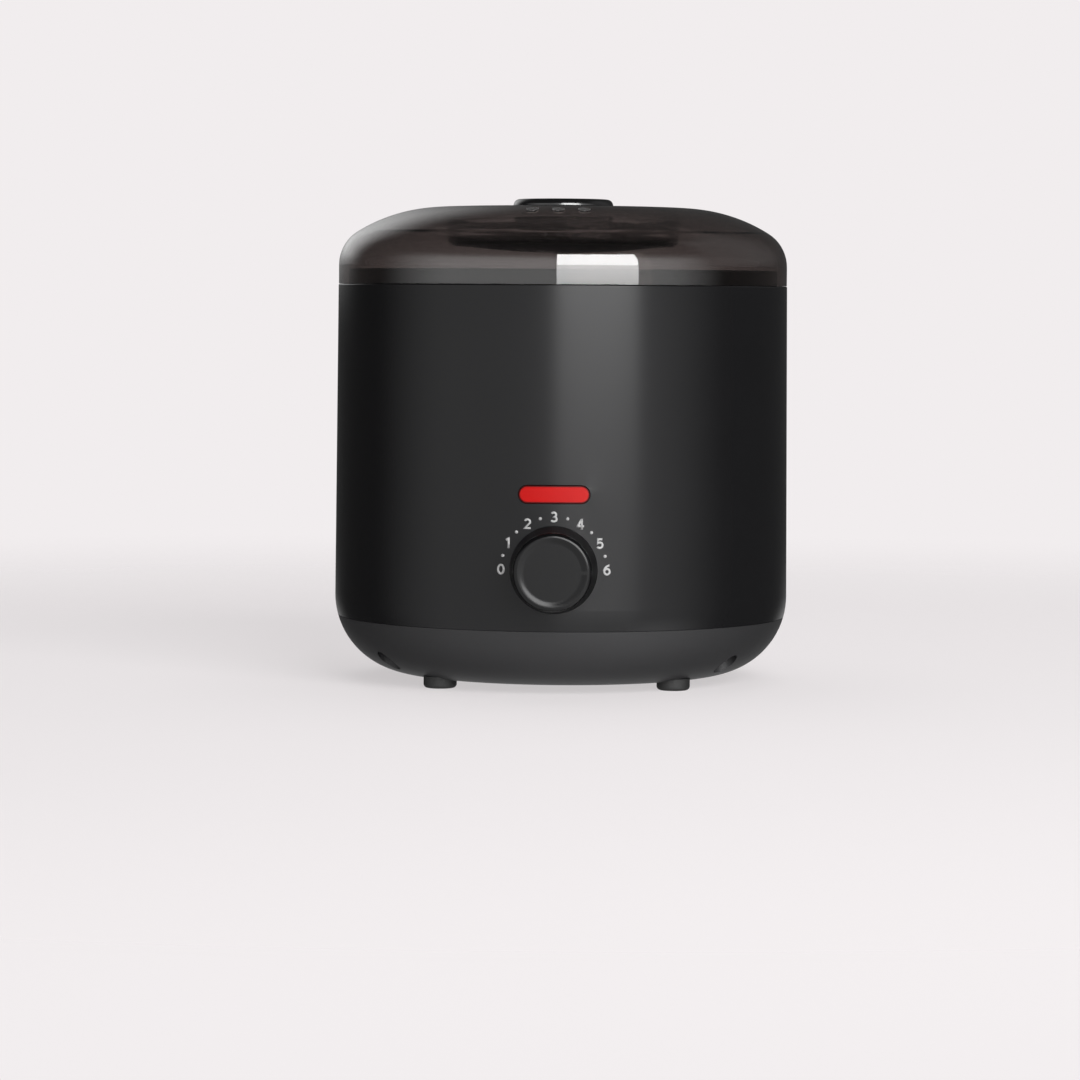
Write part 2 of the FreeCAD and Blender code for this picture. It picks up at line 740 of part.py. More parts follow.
def make_heating_bucket():
    """Thin bucket that hangs by its flange and takes the pot."""
    body = new_body("heating_bucket")
    revolve(body, "bucket", [
        ("0", "bucket_under"),
        ("bucket_radius - bucket_round", "bucket_under", "bucket_round", LEFT),
        ("bucket_radius", "bucket_under + bucket_round"),
        ("bucket_radius", "rim_height"),
        ("bucket_flange", "rim_height"),
        ("bucket_flange", "flange_top"),
        ("bucket_bore", "flange_top"),
        ("bucket_bore", "bucket_under + bucket_round", "bucket_round - bucket_wall", RIGHT),
        ("bucket_radius - bucket_round", "bucket_floor"),
        ("0", "bucket_floor"),
    ])
    clip_holes(body, "flange_holes", "flange_top", "bucket_wall", "clip_screw_radius + screw_clear")


def make_inner_pot():
    """Lift-out pot: tapered wall, rounded floor corner and a flange with a rolled edge."""
    body = new_body("inner_pot")
    revolve(body, "pot", [
        ("0", "pot_under"),
        ("pot_foot - pot_round", "pot_under", "pot_round", LEFT),
        ("pot_foot", "pot_under + pot_round"),
        ("pot_radius", "pot_flange_low"),
        ("pot_flange - pot_wall / 2", "pot_flange_low", "pot_wall / 2", LEFT),
        ("pot_flange", "pot_flange_low + pot_wall / 2", "pot_wall / 2", LEFT),
        ("pot_flange - pot_wall / 2", "pot_flange_low + pot_wall"),
        ("pot_radius - pot_wall", "pot_flange_low + pot_wall"),
        ("pot_foot - pot_wall", "pot_under + pot_round", "pot_round - pot_wall", RIGHT),
        ("pot_foot - pot_round", "pot_under + pot_wall"),
        ("0", "pot_under + pot_wall"),
    ])


def split_ring(label, bore, radius, low, tall, slot):
    """Ring about the bucket with a slot at its left side."""
    body = new_body(label)
    high = "%s + %s" % (low, tall)
    revolve(body, "ring", [(bore, low), (radius, low), (radius, high), (bore, high)])
    gap = new_sketch(body, "slot_outline", "XY_Plane", low)
    rectangle(gap, "-%s - %s" % (radius, CUT_MARGIN), "-%s / 2" % bore, "-%s / 2" % slot, "%s / 2" % slot)
    pocket(body, "slot", gap, tall, forward=True)
    return body


def make_heater():
    """Band heater, the strap that draws it tight, the strap's bolt and the felt wrap round them."""
    split_ring("heating_band", "band_bore", "band_radius", "band_low", "band_tall", "band_slot")
    strap = split_ring("band_clamp", "band_radius", "clamp_radius", "clamp_low", "clamp_tall", "band_slot")
    ears = new_sketch(strap, "ear_outlines", "XY_Plane", "clamp_low")
    for low, high in (("band_slot / 2", "ear_face"), ("-ear_face", "-band_slot / 2")):
        rectangle(ears, "-clamp_radius - ear_long", "-band_radius - clamp_thick / 2", low, high)
    pad(strap, "ears", ears, "clamp_tall")
    hole = new_sketch(strap, "bolt_hole_circle", lift="-ear_face")
    circle(hole, "-bolt_circle", "bolt_height", "bolt_radius + pilot_gap")
    pocket(strap, "bolt_hole", hole, "2 * ear_face", forward=True)
    spot = "-bolt_circle"
    shank = cylinder("bolt_shank", "bolt_radius", "2 * ear_face", spot, "ear_face", "bolt_height", FRONT)
    head = cylinder("bolt_head_disc", "bolt_head", "bolt_head_tall", spot, "-ear_face", "bolt_height", FRONT)
    nut = cylinder("bolt_nut_disc", "bolt_head", "bolt_head_tall", spot, "ear_face", "bolt_height", BACK)
    piece(fuse("clamp_bolt", [shank, head, nut]), "clamp_bolt")
    split_ring("insulation_wrap", "wrap_bore", "wrap_radius", "band_low - wrap_margin",
               "(band_tall + 2 * wrap_margin)", "wrap_slot")


def make_thermostat():
    """Dial thermostat behind the seat: bracket with bush, ceramic body, blades and ring nut."""
    bracket = new_body("thermostat_bracket")
    plate = new_sketch(bracket, "plate_outline", lift="stat_front")
    rounded_rectangle(plate, "0", "dial_height", "bracket_wide / 2", "stat_tall / 2", "stat_corner")
    pad(bracket, "plate", plate, "bracket_thick")
    tube = new_sketch(bracket, "bush_circle", lift="stat_front")
    circle(tube, "0", "dial_height", "bush_radius")
    pad(bracket, "bush", tube, "bracket_thick + seat_thick + bush_proud")
    bore = new_sketch(bracket, "bore_circle", lift="stat_front")
    circle(bore, "0", "dial_height", "shaft_radius + running_gap")
    pocket(bracket, "bore", bore, "bracket_thick + seat_thick + bush_proud", forward=True)

    body = new_body("thermostat_body")
    block = new_sketch(body, "block_outline", lift="stat_back")
    rounded_rectangle(block, "0", "dial_height", "stat_wide / 2", "stat_tall / 2", "stat_corner")
    pad(body, "block", block, "stat_deep")
    socket = new_sketch(body, "socket_circle", lift="stat_front")
    circle(socket, "0", "dial_height", "shaft_radius + running_gap")
    pocket(body, "socket", socket, "shaft_sunk + bush_gap")

    blades = []
    for index, side in enumerate(("-", "")):
        size = ("blade_wide", "blade_thick", "blade_long")
        x = "%sblade_pitch / 2 - blade_wide / 2" % side
        blades.append(box("blade%d" % index, size, x, "-blade_line - blade_thick / 2", "blade_low"))
    piece(fuse("thermostat_terminals", blades), "thermostat_terminals")

    nut = new_body("thermostat_nut")
    hexagon = new_sketch(nut, "hexagon", lift="seat_face")
    corner = "nut_flats / (2 * cos(%g))" % (180 / HEXAGON_SIDES)
    turns = [index * 360 / HEXAGON_SIDES for index in range(HEXAGON_SIDES)]
    outline(hexagon, [("%s * cos(%g)" % (corner, turn), "dial_height + %s * sin(%g)" % (corner, turn))
                      for turn in turns])
    pad(nut, "hexagon_prism", hexagon, "nut_thick")
    thread = new_sketch(nut, "thread_circle", lift="seat_face")
    circle(thread, "0", "dial_height", "bush_radius + pilot_gap")
    pocket(nut, "thread_bore", thread, "nut_thick", forward=True)


def flatted_circle(sketch, radius, flat, centre):
    """Round with one flat on top, as on a knob shaft."""
    half = "sqrt((%s)^2 - (%s - %s)^2)" % (radius, radius, flat)
    high = "%s + %s - %s" % (centre, radius, flat)
    outline(sketch, [
        (half, high, radius, RIGHT),
        ("0", "%s - (%s)" % (centre, radius), radius, RIGHT),
        ("-" + half, high),
    ])


def make_dial():
    """Thermostat shaft with its flat, and the dished knob with hub and pointer that rides on it."""
    shaft = new_body("thermostat_shaft")
    round_part = new_sketch(shaft, "round_circle", lift="stat_front - shaft_sunk")
    circle(round_part, "0", "dial_height", "shaft_radius")
    pad(shaft, "round_part", round_part, "shaft_sunk + bracket_thick + seat_thick + hub_low")
    flat_part = new_sketch(shaft, "flat_outline", lift="seat_face + hub_low")
    flatted_circle(flat_part, "shaft_radius", "shaft_flat", "dial_height")
    pad(shaft, "flat_part", flat_part, "shaft_grip")

    knob = new_body("temperature_knob")
    under = "dish_face - knob_wall"
    revolve(knob, "cap", [
        ("knob_radius - knob_wall", "knob_gap"),
        ("knob_radius", "knob_gap"),
        ("knob_top_radius", "knob_tall - crest_round", "crest_round", LEFT),
        ("crest_line", "knob_tall", "dish_round", LEFT),
        ("crest_line - dish_step", "knob_tall - dish_drop / 2", "dish_round", RIGHT),
        ("crest_line - 2 * dish_step", "dish_face"),
        ("0", "dish_face"),
        ("0", "hub_low"),
        ("hub_radius", "hub_low"),
        ("hub_radius", under),
        ("knob_top_radius - knob_wall", under),
    ])
    socket = new_sketch(knob, "socket_outline", "XY_Plane", "hub_low")
    flatted_circle(socket, "(shaft_radius + running_gap)", "shaft_flat", "0")
    pocket(knob, "socket", socket, "shaft_grip + running_gap", forward=True)
    pointer = new_sketch(knob, "pointer_outline", "XY_Plane", "dish_face - knob_wall / 2")
    rectangle(pointer, "crest_line - pointer_long", "crest_line", "-pointer_wide / 2", "pointer_wide / 2")
    pad(knob, "pointer", pointer, "dish_drop + knob_wall / 2")
    place(knob, "0", "-seat_face", "dial_height", FRONT)


def make_indicator():
    """Pill-shaped lens behind the shell's slot, with the lamp in its holder on the back of it."""
    lens = new_body("indicator_lens")
    half = "(lens_tall / 2)"
    front = new_sketch(lens, "pill_outline", lift="lens_seat")
    rounded_rectangle(front, "0", "lens_height", "lens_long / 2", half, half)
    pad(lens, "pill", front, "lens_face - lens_seat + " + CUT_MARGIN)
    lip = new_sketch(lens, "lip_outline", lift="lens_back")
    lip_half = "(lens_tall / 2 + lens_lip)"
    rounded_rectangle(lip, "0", "lens_height", "(lens_long / 2 + lens_lip)", lip_half, lip_half)
    pad(lens, "lip", lip, "lens_lip_thick")
    revolve(lens, "front_trim", [
        ("lens_face", "lens_height - lens_tall"),
        ("lens_face + lens_tall", "lens_height - lens_tall"),
        ("lens_face + lens_tall", "lens_height + lens_tall"),
        ("lens_face", "lens_height + lens_tall"),
    ], cut=True)

    holder = new_body("lamp_holder")
    case = new_sketch(holder, "case_outline", lift="holder_back")
    tall = "lamp_radius + lamp_gap + holder_wall"
    rounded_rectangle(case, "0", "lens_height", "(lamp_long / 2 + lamp_gap + holder_wall)",
                      "(%s)" % tall, "holder_wall")
    pad(holder, "case", case, "lens_back - holder_back")
    room = new_sketch(holder, "room_outline", lift="holder_back + holder_wall")
    rectangle(room, "-lamp_long / 2 - lamp_gap", "lamp_long / 2 + lamp_gap",
              "lens_height - lamp_radius - lamp_gap", "lens_height + lamp_radius + lamp_gap")
    pocket(holder, "room", room, "lens_back - holder_back", forward=True)

    lamp = new_body("indicator_lamp")
    revolve(lamp, "tube", [
        ("0", "-lamp_long / 2"),
        ("lamp_radius", "-lamp_long / 2"),
        ("lamp_radius", "lamp_long / 2 - lamp_radius", "lamp_radius", LEFT),
        ("0", "lamp_long / 2"),
    ])
    place(lamp, "0", "-(holder_back + holder_wall + lamp_gap + lamp_radius)", "lens_height", SIDEWAYS)


def strap_clip(label, x, height, radius):
    """Saddle strap that holds a round piece up against the bucket's floor."""
    body = new_body(label)
    bore = "(%s + bulb_gap)" % radius
    skin = "(%s + bulb_gap + strap_thick)" % radius
    reach = "(%s + bulb_gap + strap_thick + strap_foot)" % radius
    under = "bucket_under - strap_thick"
    sketch = new_sketch(body, "strap_outline", lift="-strap_wide / 2")
    outline(sketch, [
        ("%s - %s" % (x, reach), under),
        ("%s - %s" % (x, skin), under),
        ("%s - %s" % (x, skin), height, skin, LEFT),
        (x, "%s - %s" % (height, skin), skin, LEFT),
        ("%s + %s" % (x, skin), height),
        ("%s + %s" % (x, skin), under),
        ("%s + %s" % (x, reach), under),
        ("%s + %s" % (x, reach), "bucket_under"),
        ("%s + %s" % (x, bore), "bucket_under"),
        ("%s + %s" % (x, bore), height, bore, RIGHT),
        (x, "%s - %s" % (height, bore), bore, RIGHT),
        ("%s - %s" % (x, bore), height),
        ("%s - %s" % (x, bore), "bucket_under"),
        ("%s - %s" % (x, reach), "bucket_under"),
    ])
    pad(body, "strap", sketch, "strap_wide")


def make_sensors():
    """Sensing bulb with its capillary to the thermostat, thermal fuse, and a clip for each."""
    bulb = cylinder("bulb", "bulb_radius", "bulb_long", "bulb_offset", "-bulb_front", "bulb_height", BACK)
    rise = cylinder("capillary_rise_tube", "capillary_radius", "capillary_rise", "bulb_offset",
                    "-bulb_front - capillary_bend", "stat_top")
    bend = doc.addObject("Part::Torus", "capillary_bend_tube")
    bind(bend, "Radius1", "capillary_bend")
    bind(bend, "Radius2", "capillary_radius")
    bend.Angle3 = 90
    place(bend, "bulb_offset", "-bulb_front", "stat_top + capillary_rise", UPRIGHT)
    piece(fuse("capillary_sensor", [bulb, rise, bend]), "capillary_sensor")
    strap_clip("sensor_clip", "bulb_offset", "bulb_height", "bulb_radius")
    start = "-fuse_long / 2"
    can = cylinder("fuse_can", "fuse_radius", "fuse_long", "fuse_offset", start, "fuse_height", BACK)
    leads = cylinder("fuse_leads", "lead_radius", "fuse_long + 2 * lead_long", "fuse_offset",
                     start + " - lead_long", "fuse_height", BACK)
    piece(fuse("thermal_fuse", [can, leads]), "thermal_fuse")
    strap_clip("fuse_clip", "fuse_offset", "fuse_height", "fuse_radius")


def make_terminal_block():
    """Three-pole block on the floor of the base, with its clamp screws."""
    block = new_body("terminal_block")
    foot = new_sketch(block, "block_outline", "XY_Plane", "base_floor")
    rounded_rectangle(foot, "0", "0", "block_long / 2", "block_deep / 2", "block_edge")
    pad(block, "block", foot, "block_tall")
    ways = new_sketch(block, "way_circles", lift="-block_deep / 2")
    screws = new_sketch(block, "screw_circles", "XY_Plane", "block_top")
    fasteners = []
    for index, side in enumerate((-1, 0, 1)):
        x = "%d * pole_pitch" % side
        circle(ways, x, "way_height", "pole_bore")
        circle(screws, x, "0", "pole_screw + pilot_gap")
        fasteners.append(cylinder("pole_shank%d" % index, "pole_screw", "pole_screw_long", x, "0",
                                  "block_top - pole_screw_long"))
        fasteners.append(cylinder("pole_head%d" % index, "pole_screw_head", "pole_screw_head_tall", x, "0",
                                  "block_top"))
    pocket(block, "ways", ways, "block_deep", forward=True)
    pocket(block, "screw_bores", screws, "block_tall / 2")
    piece(fuse("terminal_screws", fasteners), "terminal_screws")


def quarter_bend(name, corner, arriving, leaving):
    """Quarter of a ring that turns a lead from one axis to another at a corner given by formulas."""
    bend = doc.addObject("Part::Torus", name)
    bind(bend, "Radius1", "wire_bend")
    bind(bend, "Radius2", "wire_radius")
    bend.Angle3 = 90
    turn = FreeCAD.Rotation(-leaving, arriving, arriving.cross(leaving), "XYZ")
    shift = leaving - arriving
    centre = ["%s + %d * wire_bend" % (text, round(step)) for text, step in zip(corner, shift)]
    place(bend, *centre, turn)
    return bend


def wire_runs(name, corners):
    """Solids of a round lead through corners given by formulas, along the axes, with round bends."""
    points = [FreeCAD.Vector(*[number(text) for text in corner]) for corner in corners]
    ways = [(end - start).normalize() for start, end in zip(points, points[1:])]
    solids = []
    for index, way in enumerate(ways):
        inner = index > 0
        final = index == len(ways) - 1
        axis = max(range(len(way)), key=lambda part: abs(way[part]))
        sign = round(way[axis])
        start = list(corners[index])
        span = "%d * (%s - (%s))" % (sign, corners[index + 1][axis], start[axis])
        length = "%s - %d * wire_bend" % (span, inner + (not final))
        start[axis] = "%s + %d * wire_bend" % (start[axis], sign * inner)
        turn = FreeCAD.Rotation(FreeCAD.Vector(0, 0, 1), way)
        solids.append(cylinder("%s_run%d" % (name, index), "wire_radius", length, *start, turn))
        if not final:
            solids.append(quarter_bend("%s_bend%d" % (name, index), corners[index + 1], way, ways[index + 1]))
    return solids


def make_leads():
    """Leads from the terminal block to thermostat and heater band, and from the thermostat to the lamp."""
    piece(fuse("supply_lead", wire_runs("supply", [
        ("-pole_pitch", "pole_screw", "way_height"),
        ("-pole_pitch", "-blade_line", "way_height"),
        ("-pole_pitch", "-blade_line", "blade_low"),
    ])), "supply_lead")
    side = "-sqrt(band_line^2 - wire_side^2)"
    switched = wire_runs("switched", [
        ("blade_pitch / 2", "-blade_line", "blade_low"),
        ("blade_pitch / 2", "-blade_line", "blade_low - wire_drop"),
        ("wire_side", "-blade_line", "blade_low - wire_drop"),
        ("wire_side", side, "blade_low - wire_drop"),
        ("wire_side", side, "band_low"),
    ])
    reach = "sqrt(band_line^2 - wire_turn^2)"
    neutral = wire_runs("neutral", [
        ("pole_pitch", "pole_screw", "way_height"),
        ("pole_pitch", "-wire_turn", "way_height"),
        (reach, "-wire_turn", "way_height"),
        (reach, "-wire_turn", "band_low"),
    ])
    piece(fuse("heater_leads", [fuse("switched_lead", switched), fuse("neutral_lead", neutral)]),
          "heater_leads")
    pair = [cylinder("lamp_lead%d" % index, "lamp_wire_radius", "holder_under - stat_top",
                     "%d * lamp_wire_pitch / 2" % sign, "-lamp_line", "stat_top")
            for index, sign in enumerate((-1, 1))]
    piece(fuse("lamp_leads", pair), "lamp_leads")


def make_cord_gland():
    """Rubber gland with an empty bore: nose outside, neck in the wall, locking ring inside."""
    gland = new_body("cord_gland")
    inner = "-gland_pad_thick - gland_lock_thick"
    edge = "gland_flange_thick / 2"
    revolve(gland, "gland", [
        ("gland_bore", inner),
        ("gland_lock", inner),
        ("gland_lock", "-gland_pad_thick"),
        ("gland_neck", "-gland_pad_thick"),
        ("gland_neck", "0"),
        ("gland_flange", "0"),
        ("gland_flange", edge, edge, LEFT),
        ("gland_flange - " + edge, "gland_flange_thick"),
        ("gland_bore", "gland_flange_thick"),
    ])
    place(gland, "0", "gland_face", "gland_height", BACK)


def make_feet():
    """Four rubber feet, each with a barbed stem through the base."""
    names = ("foot_front_right", "foot_front_left", "foot_rear_right", "foot_rear_left")
    for name, angle in zip(names, corners_of("foot_angle")):
        foot = new_body(name)
        revolve(foot, "foot", [
            ("0", "0"),
            ("foot_radius - foot_edge", "0", "foot_edge", LEFT),
            ("foot_radius", "foot_edge"),
            ("foot_radius", "foot_seat"),
            ("stem_radius", "foot_seat"),
            ("stem_radius", "foot_pad_top"),
            ("barb_radius", "foot_pad_top"),
            ("stem_radius", "foot_pad_top + barb_tall"),
            ("0", "foot_pad_top + barb_tall"),
        ])
        x, y = around("foot_circle", angle)
        place(foot, x, y)


def make_screws():
    """Base screws in their wells, and the screws that hold collar and bucket down on the ledge."""
    base = []
    clips = []
    base_length = "post_top - screw_seat + screw_bite"
    clip_length = "clip_seat - rim_height + clip_screw_bite"
    for index, angle in enumerate(corners_of("post_angle")):
        x, y = around("post_circle", angle)
        low = "screw_seat - screw_head_tall"
        base.append(cylinder("base_head%d" % index, "screw_head", "screw_head_tall", x, y, low))
        base.append(cylinder("base_shank%d" % index, "screw_radius", base_length, x, y, "screw_seat"))
        x, y = around("clip_circle", angle)
        low = "rim_height - clip_screw_bite"
        clips.append(cylinder("clip_head%d" % index, "clip_screw_head", "clip_screw_head_tall", x, y,
                              "clip_seat"))
        clips.append(cylinder("clip_shank%d" % index, "clip_screw_radius", clip_length, x, y, low))
    piece(fuse("base_screws", base), "base_screws")
    piece(fuse("collar_screws", clips), "collar_screws")


def make_lid():
    """Smoked lid as one wall of tangent arcs, from its skirt over the crown into the finger well."""
    lid = new_body("lid_dome")
    hole = "(grip_screw_radius + grip_screw_gap)"
    sink = "(grip_screw_head + grip_screw_gap)"
    sink_low = "bowl_top - sqrt(bowl_skin^2 - %s^2)" % sink
    revolve(lid, "dome", [
        ("lid_bore", "lid_low"),
        ("lid_radius", "lid_low"),
        ("lid_radius", "shoulder_height", "shoulder_round", LEFT),
        ("crest_radius + crown_radius * crown_lean", "crown_low + crown_radius * crown_stand",
         "crown_radius", LEFT),
        ("crest_radius", "crest_height", "rim_round", LEFT),
        ("well_radius", "crest_height - rim_round"),
        ("well_radius", "well_bend", "well_round", RIGHT),
        ("bowl_radius * bowl_lean", "bowl_top - bowl_radius * bowl_stand", "bowl_radius", RIGHT),
        (hole, "bowl_top - sqrt(bowl_radius^2 - %s^2)" % hole),
        (hole, "%s + %s - %s" % (sink_low, sink, hole)),
        (sink, sink_low, "bowl_skin", LEFT),
        ("bowl_skin * skin_lean", "bowl_top - bowl_skin * skin_stand", "bowl_corner", LEFT),
        ("well_radius + lid_wall", "skin_bend"),
        ("well_radius + lid_wall", "crest_height - rim_round", "rim_round - lid_wall", RIGHT),
        ("crest_radius", "crest_height - lid_wall", "crown_radius - lid_wall", RIGHT),
        ("crest_radius + (crown_radius - lid_wall) * crown_lean",
         "crown_low + (crown_radius - lid_wall) * crown_stand", "shoulder_round - lid_wall", RIGHT),
        ("lid_bore", "shoulder_height"),
    ])
    lid_vents(lid, "vent_dish", "lid_vent_radius", "lid_vent_drop")
    lid_vents(lid, "vent_pin", "lid_vent_pin", "crown_rise")


def lid_vents(lid, name, radius, depth):
    """Three round cuts side by side in the front of the crown, from the height of its crest down."""
    vents = new_sketch(lid, name + "_circles", "XY_Plane", "crest_height")
    for step in ("-lid_vent_step", "0", "lid_vent_step"):
        x, y = around("lid_vent_circle", step)
        circle(vents, x, y, radius)
    pocket(lid, name, vents, depth)


def make_lid_grip():
    """Round grip that stands in the well, dished on top, and its countersunk screw."""
    grip = new_body("lid_knob")
    revolve(grip, "grip", [
        ("0", "grip_seat"),
        ("grip_foot", "grip_seat"),
        ("grip_radius", "grip_top - grip_round", "grip_round", LEFT),
        ("grip_radius - grip_round", "grip_top", "grip_dish_radius", RIGHT),
        ("0", "grip_top - grip_dish"),
    ])
    bore = new_sketch(grip, "screw_bore_circle", "XY_Plane", "grip_seat")
    circle(bore, "0", "0", "grip_screw_radius + pilot_gap")
    pocket(grip, "screw_bore", bore, "grip_screw_bite + pilot_spare", forward=True)
    screw = new_body("lid_knob_screw")
    revolve(screw, "screw", [
        ("0", "well_under"),
        ("grip_screw_head", "well_under"),
        ("grip_screw_radius", "well_under + grip_screw_head - grip_screw_radius"),
        ("grip_screw_radius", "grip_seat + grip_screw_bite"),
        ("0", "grip_seat + grip_screw_bite"),
    ])


def check_document():
    """Stop if any object failed or any piece has no valid solid."""
    for thing in doc.Objects:
        if "Invalid" in thing.State or "Error" in thing.State:
            raise RuntimeError("%s failed: %s" % (thing.Label, thing.State))
    for thing in PIECES:
        shape = thing.Shape
        if shape.isNull() or not shape.isValid() or not shape.Solids:
            raise RuntimeError("%s has no valid solid" % thing.Label)


def write_pieces():
    """Write each piece to its own file and list its volume."""
    os.makedirs("parts", exist_ok=True)
    for thing in PIECES:
        thing.Shape.exportStep("parts/%s.step" % thing.Label)
        print("%-22s %2d solids %10.1f mm3" % (thing.Label, len(thing.Shape.Solids), thing.Shape.Volume))


fill_sheet()
make_outer_shell()
make_base_pan()
make_rim_collar()
make_heating_bucket()
make_inner_pot()
make_heater()
make_thermostat()
make_dial()
make_indicator()
make_sensors()
make_terminal_block()
make_leads()
make_cord_gland()
make_feet()
make_screws()
make_lid()
make_lid_grip()
doc.recompute()
check_document()
write_pieces()
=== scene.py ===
"""Finishes, printed dial scale, screws and studio of a countertop wax heater.

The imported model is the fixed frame: metres, +Z up, the dial faces -Y and the feet stand on z = 0.
"""

import math

import bpy
import numpy as np
from bpy.props import FloatProperty, FloatVectorProperty, PointerProperty
from mathutils import Matrix, Vector


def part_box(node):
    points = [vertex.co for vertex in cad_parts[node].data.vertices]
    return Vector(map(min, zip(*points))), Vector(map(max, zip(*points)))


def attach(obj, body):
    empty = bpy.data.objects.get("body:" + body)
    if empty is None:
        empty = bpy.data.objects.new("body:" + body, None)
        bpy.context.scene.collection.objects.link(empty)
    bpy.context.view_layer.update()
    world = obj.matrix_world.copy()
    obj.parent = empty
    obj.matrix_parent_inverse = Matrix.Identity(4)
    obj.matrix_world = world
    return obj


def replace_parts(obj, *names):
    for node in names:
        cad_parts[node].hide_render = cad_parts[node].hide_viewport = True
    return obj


bl_info = {
    "name": "Wax heater finishes",
    "version": (1, 0, 0),
    "blender": (4, 5, 0),
    "location": "View3D > Sidebar > Wax heater",
    "description": "Dresses the pieces of a countertop wax heater and sets a plain studio round it",
    "category": "Object",
}

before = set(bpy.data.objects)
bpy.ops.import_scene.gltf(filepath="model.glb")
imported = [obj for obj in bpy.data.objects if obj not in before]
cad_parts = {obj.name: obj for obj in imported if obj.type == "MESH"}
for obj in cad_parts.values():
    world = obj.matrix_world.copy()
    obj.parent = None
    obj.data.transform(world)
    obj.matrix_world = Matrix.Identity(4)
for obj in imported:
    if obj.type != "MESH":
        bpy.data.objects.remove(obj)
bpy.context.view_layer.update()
MM = 0.001
FULL_TURN = 2 * math.pi

# Dial knob: from its front to where its crest ends, and the width of the change to its dull flank
CREST_DEPTH = 1.5 * MM
CREST_FADE = 0.8 * MM

# Indicator lens: half of its face, and where the painted shade inside its outline starts and ends
LENS_HALF_LONG = 11.9 * MM
LENS_HALF_TALL = 2.9 * MM
LENS_PAINTED_SHADE = (0.65 * MM, 0.15 * MM)

# Lid: how strongly its dye absorbs, what it lets through of a lamp's light, and its vents: the
# circle that they stand on, their turns from the front in degrees, and their radius
SMOKE_DENSITY = 560.0
LID_SHADOW = "#8C8683"
VENT_CIRCLE = 55 * MM
VENT_TURNS = (-9.2, 0.0, 9.2)
VENT_RADIUS = 2.0 * MM


# Colours and nodes

# Places of the inputs and the output of a Mix node for colours
MIX_SHARE, MIX_FIRST, MIX_SECOND, MIX_COLOUR = 0, 6, 7, 2


def linear(code):
    """Linear red, green and blue of an sRGB hex colour."""
    channels = np.array([int(code[start:start + 2], 16) for start in (1, 3, 5)]) / 255
    curve = np.where(channels <= 0.04045, channels / 12.92, ((channels + 0.055) / 1.055) ** 2.4)
    return tuple(curve.tolist())


def shade(colour, share=1.0):
    """A colour made darker or lighter by a share, with full alpha as colour sockets take it."""
    return (*[min(1.0, part * share) for part in colour], 1.0)


def add_node(tree, kind, inputs=None, **settings):
    """Add a node, set its properties, and give each input a value or a link.

    An input goes by its name, or by its place where names repeat.
    """
    node = tree.nodes.new("ShaderNode" + kind)
    for name, value in settings.items():
        setattr(node, name, value)
    for name, value in (inputs or {}).items():
        if isinstance(value, bpy.types.Node):
            value = value.outputs[0]
        if isinstance(value, bpy.types.NodeSocket):
            tree.links.new(value, node.inputs[name])
        else:
            node.inputs[name].default_value = value
    return node


def new_material(name):
    """Material with an empty tree, its tree, and its Object coordinates."""
    material = bpy.data.materials.new(name)
    material.use_nodes = True
    tree = material.node_tree
    tree.nodes.clear()
    return material, tree, add_node(tree, "TexCoord").outputs["Object"]


# Materials

PLASTIC_IOR = 1.53
POLYCARBONATE_IOR = 1.58
GLASS_IOR = 1.52
INK_IOR = 1.48

# Real sizes of the patterns
FLOW_MARK = 30 * MM
KNOB_FLOW_MARK = 10 * MM
LID_SMEAR = 12 * MM
LENS_CLOUD = 4 * MM
LENS_SPREAD = 1.5 * MM
LATHE_RING = 0.7 * MM
LATHE_DEPTH = 0.012 * MM
POT_STAIN = 18 * MM
PLATING_DRIFT = 5 * MM
PLATING_PIT = 0.5 * MM
PLATING_DEPTH = 0.004 * MM
GLASS_WAVE = 3 * MM
PAD_MOTTLE = 0.6 * MM


def moulded_plastic(name, colour, roughness, grain, depth, shine):
    """Thermoplastic from a steel mould.

    The mould's fine texture breaks up the gloss, and the melt leaves faint cloudy flow marks.
    """
    material, tree, place = new_material(name)
    flow = add_node(tree, "TexNoise", {"Vector": place, "Scale": 1 / FLOW_MARK})
    texture = add_node(tree, "TexNoise", {"Vector": place, "Scale": 1 / grain, "Detail": 3.0})
    tone = add_node(tree, "Mix", {
        MIX_SHARE: flow, MIX_FIRST: shade(colour, 0.88), MIX_SECOND: shade(colour, 1.12)},
        data_type="RGBA")
    gloss = add_node(tree, "MapRange", {
        "Value": texture, "To Min": roughness * 0.92, "To Max": roughness * 1.08})
    surface = add_node(tree, "BsdfPrincipled", {
        "Base Color": tone.outputs[MIX_COLOUR],
        "Roughness": gloss,
        "Normal": add_node(tree, "Bump", {"Height": texture, "Distance": depth}),
        "IOR": PLASTIC_IOR,
        "Specular IOR Level": shine,
    })
    add_node(tree, "OutputMaterial", {"Surface": surface})
    return material


